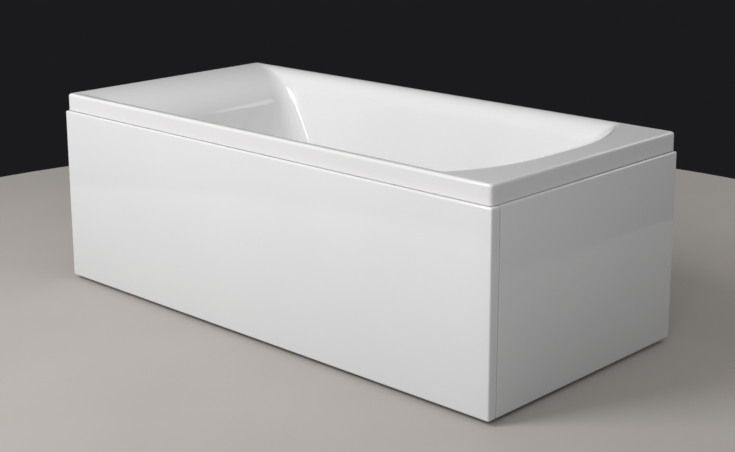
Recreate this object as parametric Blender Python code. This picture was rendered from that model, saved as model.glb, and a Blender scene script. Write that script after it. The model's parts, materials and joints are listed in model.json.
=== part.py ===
"""Built-in acrylic bath with a front panel and an end panel.

Units are metres, +Z is up, +X points to the foot end with the waste and +Y to the wall behind the bath.
The origin is on the floor, under the centre of the whole object. Lengths inside the file are counted from the
middle of the rim, where the empty bath_datum stands.
"""
import bmesh
import bpy
from math import atan, cos, pi, radians, sin, sqrt, tan
from mathutils import Euler, Matrix, Vector

for old in list(bpy.data.objects):
    bpy.data.objects.remove(old, do_unlink=True)

# Driving sizes of the bath
BATH_LENGTH = 1.700
BATH_WIDTH = 0.800
BOWL_DEPTH = 0.430
FLOOR_ROOM = 0.175
PANEL_PROUD = 0.008
HEAD_GAP = 0.004

# Clearances, and how far a cutter reaches past what it cuts
SEAT = 0.0003
OVERRUN = 0.004
MERGE = 0.000001

ROUND_STEPS = 24
SMALL_STEPS = 12
SHARP_ANGLE_DEG = 32.0

RIM_HEIGHT = BOWL_DEPTH + FLOOR_ROOM
HALF_LENGTH = BATH_LENGTH / 2
HALF_WIDTH = BATH_WIDTH / 2

datum = bpy.data.objects.new("bath_datum", None)
bpy.context.scene.collection.objects.link(datum)
datum.location = ((HEAD_GAP - PANEL_PROUD) / 2, PANEL_PROUD / 2, 0)


def finish(name, colour, roughness, metallic=0.0):
    """A plain Principled material."""
    made = bpy.data.materials.new(name)
    made.use_nodes = True
    shader = made.node_tree.nodes["Principled BSDF"]
    shader.inputs["Base Color"].default_value = (*colour, 1.0)
    shader.inputs["Roughness"].default_value = roughness
    shader.inputs["Metallic"].default_value = metallic
    made.diffuse_color = (*colour, 1.0)
    return made


ACRYLIC = finish("white_acrylic", (0.80, 0.80, 0.80), 0.12)
PANEL_ACRYLIC = finish("panel_acrylic", (0.79, 0.79, 0.80), 0.12)
CHIPBOARD = finish("chipboard", (0.42, 0.30, 0.18), 0.8)
SOFTWOOD = finish("softwood", (0.55, 0.40, 0.24), 0.75)
GALVANISED = finish("galvanised_steel", (0.55, 0.56, 0.57), 0.45, 1.0)
ZINC = finish("zinc_plated_steel", (0.60, 0.60, 0.58), 0.35, 1.0)
CHROME = finish("chrome", (0.80, 0.80, 0.80), 0.08, 1.0)
BLACK_PLASTIC = finish("black_plastic", (0.03, 0.03, 0.03), 0.5)
GREY_PLASTIC = finish("grey_polypropylene", (0.55, 0.56, 0.57), 0.45)
RUBBER = finish("black_rubber", (0.02, 0.02, 0.02), 0.7)


def body(name, mesh_form, material, place=(0, 0, 0), turn=(0, 0, 0), carrier=datum):
    """Make a named object from a bmesh, shaded smooth except over its sharp edges."""
    mesh = bpy.data.meshes.new(name)
    mesh_form.to_mesh(mesh)
    mesh_form.free()
    mesh.shade_smooth()
    mesh.set_sharp_from_angle(angle=radians(SHARP_ANGLE_DEG))
    made = bpy.data.objects.new(name, mesh)
    bpy.context.scene.collection.objects.link(made)
    mesh.materials.append(material)
    made.parent = carrier
    made.location = place
    made.rotation_euler = turn
    return made


def hidden(made):
    """Mark an object as a cutter or a shape that another one takes up."""
    made.hide_render = True
    made.display_type = 'WIRE'
    return made


def combine(target, other, operation):
    """Cut the other shape from the target, or fuse it with the target."""
    step = target.modifiers.new(operation.lower() + "_" + other.name, 'BOOLEAN')
    step.operation = operation
    step.solver = 'EXACT'
    step.object = hidden(other)


def rounded(made, radius, segments, angle_deg=40.0):
    """Round the edges of a piece that turn by more than the given angle."""
    step = made.modifiers.new("edge_radius", 'BEVEL')
    step.width = radius
    step.segments = segments
    step.limit_method = 'ANGLE'
    step.angle_limit = radians(angle_deg)


def turned(profile, steps=ROUND_STEPS):
    """Turn a closed outline of (radius, height) points round the Z axis."""
    form = bmesh.new()
    points = [form.verts.new((radius, 0, height)) for radius, height in profile]
    edges = [form.edges.new((points[index - 1], points[index])) for index in range(len(points))
             if profile[index - 1][0] + profile[index][0] > 0]
    bmesh.ops.spin(form, geom=points + edges, cent=(0, 0, 0), axis=(0, 0, 1), angle=2 * pi, steps=steps,
                   use_merge=True)
    bmesh.ops.remove_doubles(form, verts=form.verts, dist=MERGE)
    bmesh.ops.dissolve_degenerate(form, edges=form.edges, dist=MERGE)
    bmesh.ops.recalc_face_normals(form, faces=form.faces)
    return form


def ring_profile(inner, outer, low, high):
    """The square outline of a ring."""
    return [(inner, low), (outer, low), (outer, high), (inner, high)]


def rod_profile(radius, low, high):
    """The outline of a plain rod or disc."""
    return [(0, low), (radius, low), (radius, high), (0, high)]


def extruded(outline, along):
    """Extrude a closed outline of 3D points along a vector."""
    form = bmesh.new()
    face = form.faces.new([form.verts.new(point) for point in outline])
    swept = bmesh.ops.extrude_face_region(form, geom=[face])
    moved = [item for item in swept["geom"] if isinstance(item, bmesh.types.BMVert)]
    bmesh.ops.translate(form, verts=moved, vec=along)
    bmesh.ops.recalc_face_normals(form, faces=form.faces)
    return form


def block(low, high):
    """A plain block between two corners."""
    outline = [(low[0], low[1], low[2]), (high[0], low[1], low[2]), (high[0], high[1], low[2]),
               (low[0], high[1], low[2])]
    return extruded(outline, (0, 0, high[2] - low[2]))


def looped(rings, closed_rings):
    """Skin a list of rings with quads. Closed rings run on from the last to the first, others get end caps."""
    form = bmesh.new()
    rows = [[form.verts.new(point) for point in ring] for ring in rings]
    count = len(rows[0])
    last = len(rows) if closed_rings else len(rows) - 1
    for level in range(last):
        lower = rows[level]
        upper = rows[(level + 1) % len(rows)]
        for index in range(count):
            after = (index + 1) % count
            form.faces.new((lower[index], lower[after], upper[after], upper[index]))
    if not closed_rings:
        form.faces.new(rows[0][::-1])
        form.faces.new(rows[-1])
    bmesh.ops.recalc_face_normals(form, faces=form.faces)
    return form


def bent_route(corners, radius, steps):
    """A route through corner points, with an arc of the given radius at each inner corner."""
    corners = [Vector(point) for point in corners]
    route = [corners[0]]
    for before, corner, after in zip(corners, corners[1:], corners[2:]):
        back = (before - corner).normalized()
        on = (after - corner).normalized()
        half_angle = back.angle(on) / 2
        centre = corner + (back + on).normalized() * (radius / sin(half_angle))
        start = (corner + back * (radius / tan(half_angle)) - centre).normalized()
        end = (corner + on * (radius / tan(half_angle)) - centre).normalized()
        route += [centre + start.slerp(end, step / steps) * radius for step in range(steps + 1)]
    return route + [corners[-1]]


def tube_rings(route, side, radius, steps, first, last):
    """Rings of a tube round a route that stays square to the side vector."""
    side = Vector(side)
    rings = []
    for index in range(first, last):
        before = route[max(index - 1, 0)]
        after = route[min(index + 1, len(route) - 1)]
        across = (after - before).normalized().cross(side)
        ring = []
        for step in range(steps):
            angle = 2 * pi * step / steps
            ring.append(route[index] + side * (radius * cos(angle)) + across * (radius * sin(angle)))
        rings.append(ring)
    return rings


def pipe(route, side, outer, inner, steps):
    """A tube with its bore along a route that stays square to the side vector."""
    outside = tube_rings(route, side, outer, steps, 0, len(route))
    inside = tube_rings(route, side, inner, steps, 0, len(route))
    return looped(outside + inside[::-1], True)


# Bath shell: one vacuum-formed sheet with its reinforcement. It has a skirt, a rolled edge, long edges that roll
# straight into the bowl, a flat deck with a crisp arc at the foot end, and a backrest that curves down from the rim.
SHELL_WALL = 0.006
SKIRT_DEPTH = 0.0525
EDGE_RADIUS = 0.008
CORNER_RADIUS = 0.012
CREST_LEDGE = 0.002
FOOT_DECK = 0.080
FOOT_BOW = 0.092
HEAD_DECK = 0.015
FLOOR_FALL_SHARE = 0.01
WASTE_SETBACK = 0.095
FOOT_CORNER_TOP = 0.012
FOOT_STRAIGHT = 0.115
HEAD_CORNER_TOP = 0.015
HEAD_STRAIGHT = 0.045
BOW_POWER_SHARE = 2.9
CORNER_POWER_SHARE = 0.8

# Each wall of the bowl: how far it runs inwards from the deck to the floor, the shoulder that rolls over at its
# top with the depth of that roll and the drop at its lip, and the toe that rounds into the floor with its rise.
SIDE_RUN = 0.145
SIDE_SHOULDER = 0.042
SIDE_ROLL = 0.060
SIDE_TOE = 0.058
SIDE_RISE = 0.075
HEAD_RUN = 0.425
HEAD_SHOULDER = 0.180
HEAD_ROLL = 0.100
HEAD_LIP = 0.008
HEAD_TOE = 0.060
HEAD_RISE = 0.090
FOOT_RUN = 0.265
FOOT_SHOULDER = 0.143
FOOT_ROLL = 0.100
FOOT_LIP = 0.036
FOOT_TOE = 0.056
FOOT_RISE = 0.075

SIDE_WALL = (SIDE_RUN, SIDE_SHOULDER, SIDE_ROLL, 0, SIDE_TOE, SIDE_RISE)
HEAD_WALL = (HEAD_RUN, HEAD_SHOULDER, HEAD_ROLL, HEAD_LIP, HEAD_TOE, HEAD_RISE)
FOOT_WALL = (FOOT_RUN, FOOT_SHOULDER, FOOT_ROLL, FOOT_LIP, FOOT_TOE, FOOT_RISE)

END_STEPS = 7
CORNER_STEPS = 4
SIDE_STEPS = 4
EDGE_STEPS = 3
ROLL_SHARES = (0, 0.005, 0.02, 0.06, 0.13, 0.235, 0.385, 0.6, 0.8, 1)
WALL_SHARES = (0.15, 0.41, 0.69, 0.82, 0.91, 0.965, 1)

CREST_Y = HALF_WIDTH - EDGE_RADIUS - CREST_LEDGE
FLOOR_FOOT_X = HALF_LENGTH - FOOT_DECK - FOOT_RUN
FLOOR_HEAD_X = -(HALF_LENGTH - HEAD_DECK - HEAD_RUN)
WASTE_X = FLOOR_FOOT_X - WASTE_SETBACK
FLOOR_HALF_WIDTH = CREST_Y - SIDE_RUN
FOOT_CORNER_FLOOR = FLOOR_HALF_WIDTH - FOOT_STRAIGHT
HEAD_CORNER_FLOOR = FLOOR_HALF_WIDTH - HEAD_STRAIGHT


def floor_height(x):
    """Height of the bowl's floor, which falls towards the waste."""
    return FLOOR_ROOM + FLOOR_FALL_SHARE * (WASTE_X - x)


def inset(depth, wall):
    """How far a wall of the bowl has come in at a depth below the deck."""
    run, shoulder, roll, lip, toe, rise = wall
    lean = (run - shoulder - toe) / BOWL_DEPTH
    if depth < roll:
        bend = roll - 2 * lip
        t = (sqrt(lip * lip + bend * depth) - lip) / bend
        return 2 * t * (1 - t) * shoulder + t * t * (shoulder + lean * roll)
    if depth > BOWL_DEPTH - rise:
        t = sqrt(max(BOWL_DEPTH - depth, 0) / rise)
        return run - 2 * t * (1 - t) * toe - t * t * (toe + lean * rise)
    return shoulder + lean * depth


def half_end(reach, bow, radius, half_width):
    """Half of one end of an outline, from its middle to the end of its corner, with x counted outwards."""
    straight = half_width - radius
    points = []
    for step in range(END_STEPS + 1):
        y = straight * step / END_STEPS
        points.append((reach - bow * (y / half_width) ** BOW_POWER_SHARE, y))
    slope = -bow * BOW_POWER_SHARE * (straight / half_width) ** (BOW_POWER_SHARE - 1) / half_width
    start = points[-1]
    knee = start[0] + slope * radius
    for step in range(1, CORNER_STEPS + 1):
        t = step / CORNER_STEPS
        x = (1 - t) ** 2 * start[0] + 2 * t * (1 - t) * knee + t * t * (knee - radius)
        y = (1 - t) ** 2 * start[1] + (1 - (1 - t) ** 2) * half_width
        points.append((x, y))
    return points


def outline(foot, head, half_width):
    """A closed outline, anticlockwise from the middle of the foot end. Each end is (reach, bow, radius)."""
    foot_half = half_end(*foot, half_width)
    head_half = [(-x, y) for x, y in half_end(*head, half_width)]
    start = foot_half[-1][0]
    end = head_half[-1][0]
    side = [(start + (end - start) * step / SIDE_STEPS, half_width) for step in range(1, SIDE_STEPS)]
    half = foot_half + side + head_half[::-1]
    return half + [(x, -y) for x, y in half[-2:0:-1]]


def rim_ring(inward, height):
    """One ring round the outer edge of the rim."""
    end = (HALF_LENGTH - inward, 0, CORNER_RADIUS - inward / 2)
    return [Vector((x, y, height)) for x, y in outline(end, end, HALF_WIDTH - inward)]


def bowl_ring(depth):
    """One level ring of the bowl, which tilts with the floor as it nears it."""
    share = depth / BOWL_DEPTH
    foot = (HALF_LENGTH - FOOT_DECK - inset(depth, FOOT_WALL), FOOT_BOW * (1 - share) ** 2,
            FOOT_CORNER_TOP + (FOOT_CORNER_FLOOR - FOOT_CORNER_TOP) * share ** CORNER_POWER_SHARE)
    head = (HALF_LENGTH - HEAD_DECK - inset(depth, HEAD_WALL), 0,
            HEAD_CORNER_TOP + (HEAD_CORNER_FLOOR - HEAD_CORNER_TOP) * share ** CORNER_POWER_SHARE)
    flat = outline(foot, head, CREST_Y - inset(depth, SIDE_WALL))
    return [Vector((x, y, RIM_HEIGHT - share * (RIM_HEIGHT - floor_height(x)))) for x, y in flat]


# The waste sits in a round recess at the low end of the floor
WASTE_HOLE = 0.026
RECESS_RADIUS = 0.044
RECESS_DEPTH = 0.006
RECESS_STEP = 0.002
RECESS_Z = FLOOR_ROOM - RECESS_DEPTH
RING_COUNT = 2 * (2 * END_STEPS + 2 * CORNER_STEPS + SIDE_STEPS)


def waste_ring(radius, height):
    """One ring round the waste."""
    angles = [2 * pi * index / RING_COUNT for index in range(RING_COUNT)]
    return [Vector((WASTE_X + radius * cos(angle), radius * sin(angle), height)) for angle in angles]


skirt_foot = RIM_HEIGHT - SKIRT_DEPTH
shell_rings = [rim_ring(0, skirt_foot)]
for edge_step in range(EDGE_STEPS + 1):
    edge_angle = pi / 2 * edge_step / EDGE_STEPS
    shell_rings.append(rim_ring(EDGE_RADIUS * (1 - cos(edge_angle)),
                                RIM_HEIGHT - EDGE_RADIUS * (1 - sin(edge_angle))))
shell_rings += [bowl_ring(FOOT_ROLL * share) for share in ROLL_SHARES]
shell_rings += [bowl_ring(FOOT_ROLL + (BOWL_DEPTH - FOOT_ROLL) * share) for share in WALL_SHARES]
recess_lip = waste_ring(RECESS_RADIUS + RECESS_STEP, FLOOR_ROOM)
for lip_point in recess_lip:
    lip_point.z = floor_height(lip_point.x)
shell_rings.append([(near + far) / 2 for near, far in zip(shell_rings[-1], recess_lip)])
shell_rings += [recess_lip, waste_ring(RECESS_RADIUS, RECESS_Z), waste_ring(WASTE_HOLE, RECESS_Z)]

shell_form = bmesh.new()
shell_rows = [[shell_form.verts.new(point) for point in ring] for ring in shell_rings]
for lower_row, upper_row in zip(shell_rows, shell_rows[1:]):
    for point_index in range(RING_COUNT):
        next_index = (point_index + 1) % RING_COUNT
        shell_form.faces.new((lower_row[point_index], lower_row[next_index], upper_row[next_index],
                              upper_row[point_index]))
bath_shell = body("bath_shell", shell_form, ACRYLIC)
shell_wall = bath_shell.modifiers.new("wall", 'SOLIDIFY')
shell_wall.thickness = SHELL_WALL
shell_wall.offset = -1
shell_wall.use_even_offset = True

# Overflow place: a point on the straight part of the foot wall, below its roll, with an axis square to the wall
OVERFLOW_LAND = 0.042
OVERFLOW_HOLE = 0.026
OVERFLOW_DEPTH = FOOT_ROLL + OVERFLOW_LAND
foot_lean = atan((FOOT_RUN - FOOT_SHOULDER - FOOT_TOE) / BOWL_DEPTH)
overflow_x = HALF_LENGTH - FOOT_DECK - inset(OVERFLOW_DEPTH, FOOT_WALL)
overflow_share = OVERFLOW_DEPTH / BOWL_DEPTH
overflow_point = Vector((overflow_x, 0, RIM_HEIGHT - overflow_share * (RIM_HEIGHT - floor_height(overflow_x))))
overflow_turn = Euler((0, foot_lean - pi / 2, 0))
overflow_cutter = body("overflow_hole_cutter",
                       turned(rod_profile(OVERFLOW_HOLE, -SHELL_WALL - 2 * OVERRUN, 2 * OVERRUN), RING_COUNT // 2),
                       ACRYLIC, overflow_point, overflow_turn)
combine(bath_shell, overflow_cutter, 'DIFFERENCE')

# Base board: laminated under the floor, parallel to it, with cut corners
BOARD_THICK = 0.016
BOARD_SIDE_GAP = 0.030
BOARD_HEAD_GAP = 0.015
BOARD_WASTE_GAP = 0.070
BOARD_CORNER = 0.060
board_head_x = FLOOR_HEAD_X + BOARD_HEAD_GAP
board_foot_x = WASTE_X - BOARD_WASTE_GAP
board_half = FLOOR_HALF_WIDTH - BOARD_SIDE_GAP
floor_tilt = atan(FLOOR_FALL_SHARE)


def board_top(x):
    """Height of the base board's upper face."""
    return floor_height(x) - SHELL_WALL / cos(floor_tilt) - SEAT


def board_underside(x):
    """Height of the base board's lower face."""
    return board_top(x) - BOARD_THICK


board_outline = []
for corner_x, corner_y in ((board_head_x, -board_half), (board_foot_x, -board_half),
                           (board_foot_x, board_half), (board_head_x, board_half)):
    in_x = BOARD_CORNER if corner_x == board_head_x else -BOARD_CORNER
    in_y = BOARD_CORNER if corner_y < 0 else -BOARD_CORNER
    cut_pair = [(corner_x, corner_y + in_y), (corner_x + in_x, corner_y)]
    if in_x * in_y < 0:
        cut_pair.reverse()
    board_outline += [(x, y, board_underside(x)) for x, y in cut_pair]
base_board = body("base_board", extruded(board_outline, (0, 0, BOARD_THICK)), CHIPBOARD)

# Rim battens: timber bonded under the long edges and under the foot deck
BATTEN_THICK = 0.020
BATTEN_DROP = 0.021
BATTEN_ABOVE_SKIRT = 0.0025
BATTEN_HOOK_ROOM = 0.005
BATTEN_HEAD_SHORT = 0.210
BATTEN_FOOT_SHORT = 0.250
BATTEN_SIDE_SHORT = 0.110
BATTEN_HEAD_X = BATTEN_HEAD_SHORT - HALF_LENGTH
BATTEN_FOOT_X = HALF_LENGTH - BATTEN_FOOT_SHORT
FLANGE_DEPTH = 0.022
batten_low = skirt_foot + BATTEN_ABOVE_SKIRT
batten_inset = FLANGE_DEPTH - PANEL_PROUD + BATTEN_HOOK_ROOM


def side_batten(name, side):
    """A batten under one long edge: side is -1 at the front and 1 at the back."""
    near = side * (HALF_WIDTH - batten_inset)
    far = side * (HALF_WIDTH - batten_inset - BATTEN_THICK)
    body(name, block((BATTEN_HEAD_X, min(near, far), batten_low),
                     (BATTEN_FOOT_X, max(near, far), RIM_HEIGHT - BATTEN_DROP)), SOFTWOOD)


side_batten("rim_batten_front", -1)
side_batten("rim_batten_back", 1)
foot_batten_x = HALF_LENGTH - batten_inset
foot_batten_half = HALF_WIDTH - BATTEN_SIDE_SHORT
body("rim_batten_foot", block((foot_batten_x - BATTEN_THICK, -foot_batten_half, batten_low),
                              (foot_batten_x, foot_batten_half, RIM_HEIGHT - SHELL_WALL - SEAT)), SOFTWOOD)

# Cradle rails: steel hat sections screwed across the base board, with a weld nut over each foot
RAIL_HEAD_INSET = 0.110
RAIL_WASTE_GAP = 0.150
RAIL_SHORT = 0.065
RAIL_WIDTH = 0.040
RAIL_DEPTH = 0.030
RAIL_BRIM = 0.016
RAIL_WALL = 0.002
STEM_RADIUS = 0.005
STEM_CLEAR = 0.0006
FOOT_INSET = 0.115
NUT_FLAT = 0.0085
NUT_HEIGHT = 0.008
RAIL_HEAD_X = FLOOR_HEAD_X + RAIL_HEAD_INSET
RAIL_FOOT_X = WASTE_X - RAIL_WASTE_GAP
RAIL_HALF = HALF_WIDTH - RAIL_SHORT
FOOT_Y = HALF_WIDTH - FOOT_INSET
feet = ((RAIL_HEAD_X, -FOOT_Y), (RAIL_HEAD_X, FOOT_Y), (RAIL_FOOT_X, -FOOT_Y), (RAIL_FOOT_X, FOOT_Y))


def hexagon(flat, height):
    """Corners of a hexagon with the given half width across its flats."""
    corner = flat / cos(pi / 6)
    return [Vector((corner * cos(pi / 3 * index), corner * sin(pi / 3 * index), height)) for index in range(6)]


def rail_top(x):
    """Height of a rail's brim: it meets the board at its lower edge."""
    return board_underside(x + RAIL_WIDTH / 2 + RAIL_BRIM) - SEAT


def rail_web(x):
    """Height of the underside of a rail's web."""
    return rail_top(x) - RAIL_DEPTH


def cradle_rail(name, x):
    """A hat rail with two weld nuts and a clear hole through each."""
    half = RAIL_WIDTH / 2
    brim = half + RAIL_BRIM
    top = RAIL_DEPTH
    section = [(-brim, top), (-brim, top - RAIL_WALL), (-half, top - RAIL_WALL), (-half, 0), (half, 0),
               (half, top - RAIL_WALL), (brim, top - RAIL_WALL), (brim, top), (half - RAIL_WALL, top),
               (half - RAIL_WALL, RAIL_WALL), (RAIL_WALL - half, RAIL_WALL), (RAIL_WALL - half, top)]
    rail = body(name, extruded([(across, -RAIL_HALF, up) for across, up in section], (0, 2 * RAIL_HALF, 0)),
                GALVANISED, (x, 0, rail_web(x)))
    for side in (-1, 1):
        place = (x, side * FOOT_Y, rail_web(x))
        nut = body(f"{name}_weld_nut_{side + 2}", extruded(hexagon(NUT_FLAT, RAIL_WALL / 2), (0, 0, NUT_HEIGHT)),
                   GALVANISED, place)
        combine(rail, nut, 'UNION')
        hole = body(f"{name}_hole_cutter_{side + 2}",
                    turned(rod_profile(STEM_RADIUS + STEM_CLEAR, -OVERRUN, RAIL_WALL + NUT_HEIGHT + OVERRUN),
                           SMALL_STEPS), GALVANISED, place)
        combine(rail, hole, 'DIFFERENCE')


cradle_rail("cradle_rail_head", RAIL_HEAD_X)
cradle_rail("cradle_rail_foot", RAIL_FOOT_X)

# Levelling feet: a threaded stem in a ribbed pad, and a lock nut under the rail
PAD_RADIUS = 0.025
PAD_RIM = 0.006
PAD_HEIGHT = 0.016
PAD_NECK = 0.011
PAD_FLOOR = 0.004
STEM_FOOT = PAD_FLOOR + SEAT
STEM_SHORT = 0.015
NUT_BORE_CLEAR = 0.0004
STEM_LENGTH = FLOOR_ROOM - STEM_SHORT


def nut_ring(size, flats, height):
    """A ring of points on a circle, or on a hexagon of the given half width across its flats."""
    ring = []
    for index in range(SMALL_STEPS):
        angle = 2 * pi * index / SMALL_STEPS
        reach = size / cos((angle + pi / 6) % (pi / 3) - pi / 6) if flats else size / cos(pi / SMALL_STEPS)
        ring.append(Vector((reach * cos(angle), reach * sin(angle), height)))
    return ring


def levelling_foot(number, x, y):
    """One foot, built round its stem's axis on the floor."""
    pad = [(0, 0), (PAD_RADIUS, 0), (PAD_RADIUS, PAD_RIM), (PAD_NECK, PAD_HEIGHT),
           (STEM_RADIUS + SEAT, PAD_HEIGHT), (STEM_RADIUS + SEAT, PAD_FLOOR), (0, PAD_FLOOR)]
    body(f"foot_pad_{number}", turned(pad), BLACK_PLASTIC, (x, y, 0))
    body(f"foot_stem_{number}", turned(rod_profile(STEM_RADIUS, STEM_FOOT, STEM_FOOT + STEM_LENGTH), SMALL_STEPS),
         ZINC, (x, y, 0))
    nut_top = rail_web(x) - SEAT
    nut_form = looped([nut_ring(NUT_FLAT, True, nut_top - NUT_HEIGHT), nut_ring(NUT_FLAT, True, nut_top),
                       nut_ring(STEM_RADIUS + NUT_BORE_CLEAR, False, nut_top),
                       nut_ring(STEM_RADIUS + NUT_BORE_CLEAR, False, nut_top - NUT_HEIGHT)], True)
    body(f"foot_nut_{number}", nut_form, ZINC, (x, y, 0))


for foot_number, (foot_x, foot_y) in enumerate(feet, 1):
    levelling_foot(foot_number, foot_x, foot_y)

# Panels: moulded acrylic trays. Each is drawn in the frame of its side of the bath, with x along the panel and y
# pointing in under the bath, and the origin on the inner end of its top flange, where it hangs and turns.
PANEL_WALL = 0.004
PANEL_TOP_GAP = 0.002
PANEL_FLOOR_GAP = 0.012
PANEL_EDGE = 0.005
PANEL_EDGE_STEPS = 3
RETURN_TOP = 0.031
RETURN_TAPER = 0.004
RETURN_GUSSET = 0.055
PANEL_SEAM = 0.001
HOOK_HEIGHT = 0.014
HOOK_END_GAP = 0.060
panel_top = skirt_foot - PANEL_TOP_GAP
hook_z = panel_top - PANEL_WALL
front_face = HALF_WIDTH + PANEL_PROUD
end_face = HALF_LENGTH + PANEL_PROUD


def side_frame(name, place, turn):
    """An empty that carries the pieces on one side of the bath."""
    made = bpy.data.objects.new(name, None)
    bpy.context.scene.collection.objects.link(made)
    made.parent = datum
    made.location = place
    made.rotation_euler = (0, 0, turn)
    return made


front_side = side_frame("front_side", (0, FLANGE_DEPTH - front_face, hook_z), 0)
end_side = side_frame("end_side", (end_face - FLANGE_DEPTH, 0, hook_z), pi / 2)


def panel_tray(name, left_top, left_low, right, returns, side):
    """An open-backed tray with a hook lip. Its right flange runs in further than the others by the two returns."""
    low = PANEL_FLOOR_GAP - hook_z
    top_return, low_return = returns
    form = bmesh.new()
    face_corners = [form.verts.new((x, -FLANGE_DEPTH, z)) for x, z in (
        (left_low, low), (right, low), (right, PANEL_WALL), (left_top, PANEL_WALL))]
    low_left, low_right, top_right, top_left = face_corners
    inner_low_left, inner_low_right, inner_top_right, inner_top_left = [form.verts.new(point) for point in (
        (left_low, 0, low), (right, low_return, low), (right, top_return, PANEL_WALL), (left_top, 0, PANEL_WALL))]
    low_gusset, top_gusset = [form.verts.new((right - RETURN_GUSSET, 0, z)) for z in (low, PANEL_WALL)]
    form.faces.new(face_corners)
    form.faces.new((low_left, top_left, inner_top_left, inner_low_left))
    form.faces.new((top_left, top_right, inner_top_right, top_gusset, inner_top_left))
    form.faces.new((top_right, low_right, inner_low_right, inner_top_right))
    form.faces.new((low_right, low_left, inner_low_left, low_gusset, inner_low_right))
    tray = body(name, form, PANEL_ACRYLIC, carrier=side)
    rounded(tray, PANEL_EDGE, PANEL_EDGE_STEPS)
    wall = tray.modifiers.new("wall", 'SOLIDIFY')
    wall.thickness = PANEL_WALL
    wall.offset = -1
    wall.use_even_offset = True
    lip = body(name + "_hook_lip", block((left_top + HOOK_END_GAP, -SEAT - PANEL_WALL, PANEL_WALL / 2),
                                         (right - HOOK_END_GAP, -SEAT, HOOK_HEIGHT)), PANEL_ACRYLIC, carrier=side)
    combine(tray, lip, 'UNION')


top_return = RETURN_TOP - FLANGE_DEPTH
head_wall = -HALF_LENGTH - HEAD_GAP
panel_tray("front_panel", head_wall, head_wall, end_face, (top_return, top_return - RETURN_TAPER), front_side)
seam_top = RETURN_TOP + PANEL_SEAM - front_face
panel_tray("end_panel", seam_top, seam_top - RETURN_TAPER, HALF_WIDTH, (0, 0), end_side)

# Stiffeners bonded to the back of the panels, with a steel keeper plate at the foot of each
STIFFENER_WIDTH = 0.045
STIFFENER_THICK = 0.018
STIFFENER_TOP_GAP = 0.012
STIFFENER_FOOT_GAP = 0.002
KEEPER_SIZE = 0.036
KEEPER_THICK = 0.002
CATCH_Z = 0.060
END_CATCH_Y = -0.170
stiffener_y = PANEL_WALL + SEAT - FLANGE_DEPTH
keeper_y = stiffener_y + STIFFENER_THICK + SEAT
catch_z = CATCH_Z - hook_z


def stiffened(name, keeper_name, along, side):
    """A stiffener bonded to the back of the panel's face, and its keeper."""
    half = STIFFENER_WIDTH / 2
    low = PANEL_FLOOR_GAP + PANEL_WALL + STIFFENER_FOOT_GAP - hook_z
    body(name, block((along - half, stiffener_y, low),
                     (along + half, stiffener_y + STIFFENER_THICK, -STIFFENER_TOP_GAP)), SOFTWOOD, carrier=side)
    plate = KEEPER_SIZE / 2
    body(keeper_name, block((along - plate, keeper_y, catch_z - plate),
                            (along + plate, keeper_y + KEEPER_THICK, catch_z + plate)), ZINC, carrier=side)


stiffened("front_stiffener_1", "front_keeper_1", RAIL_HEAD_X, front_side)
stiffened("front_stiffener_2", "front_keeper_2", RAIL_FOOT_X, front_side)
stiffened("end_stiffener", "end_keeper", END_CATCH_Y, end_side)

# Top clips: steel clips under the battens, whose toes carry the top flanges of the panels
CLIP_WIDTH = 0.040
CLIP_WALL = 0.003
CLIP_ROOM = 0.004
CLIP_TOE = 0.010
CLIP_HEAD_INSET = 0.190
CLIP_FOOT_INSET = 0.150
END_CLIP_INSET = 0.090
end_clip_y = foot_batten_half - END_CLIP_INSET
clip_top = batten_low - hook_z - SEAT


def top_clip(name, along, side):
    """One clip: a plate under the batten, a leg behind the hook lip and a toe under the flange."""
    back = BATTEN_HOOK_ROOM + BATTEN_THICK
    section = [(back, clip_top), (CLIP_ROOM, clip_top), (CLIP_ROOM, -SEAT), (-CLIP_TOE, -SEAT),
               (-CLIP_TOE, -SEAT - CLIP_WALL), (CLIP_ROOM + CLIP_WALL, -SEAT - CLIP_WALL),
               (CLIP_ROOM + CLIP_WALL, clip_top - CLIP_WALL), (back, clip_top - CLIP_WALL)]
    body(name, extruded([(along - CLIP_WIDTH / 2, y, z) for y, z in section], (CLIP_WIDTH, 0, 0)), ZINC,
         carrier=side)


top_clip("front_clip_1", BATTEN_HEAD_X + CLIP_HEAD_INSET, front_side)
top_clip("front_clip_2", BATTEN_FOOT_X - CLIP_FOOT_INSET, front_side)
top_clip("end_clip_1", -end_clip_y, end_side)
top_clip("end_clip_2", end_clip_y, end_side)

# Bottom catches: steel brackets bolted under the rails, each with a pot magnet that holds a keeper
CATCH_WIDTH = 0.036
CATCH_WALL = 0.003
CATCH_LAP = 0.030
CATCH_BELOW = 0.020
MAGNET_RADIUS = 0.015
MAGNET_THICK = 0.008
magnet_y = keeper_y + KEEPER_THICK + SEAT
catch_y = magnet_y + MAGNET_THICK + SEAT


def catch(name, magnet_name, along, rail_x, reach, side):
    """A bracket that runs out from under a rail and down behind the panel, and its magnet."""
    top = rail_web(rail_x) - SEAT - hook_z
    low = catch_z - CATCH_BELOW
    section = [(catch_y, low), (catch_y, top), (reach, top), (reach, top - CATCH_WALL),
               (catch_y + CATCH_WALL, top - CATCH_WALL), (catch_y + CATCH_WALL, low)]
    body(name, extruded([(along - CATCH_WIDTH / 2, y, z) for y, z in section], (CATCH_WIDTH, 0, 0)), GALVANISED,
         carrier=side)
    body(magnet_name, turned(rod_profile(MAGNET_RADIUS, 0, MAGNET_THICK)), ZINC,
         (along, magnet_y + MAGNET_THICK, catch_z), (pi / 2, 0, 0), side)


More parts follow.
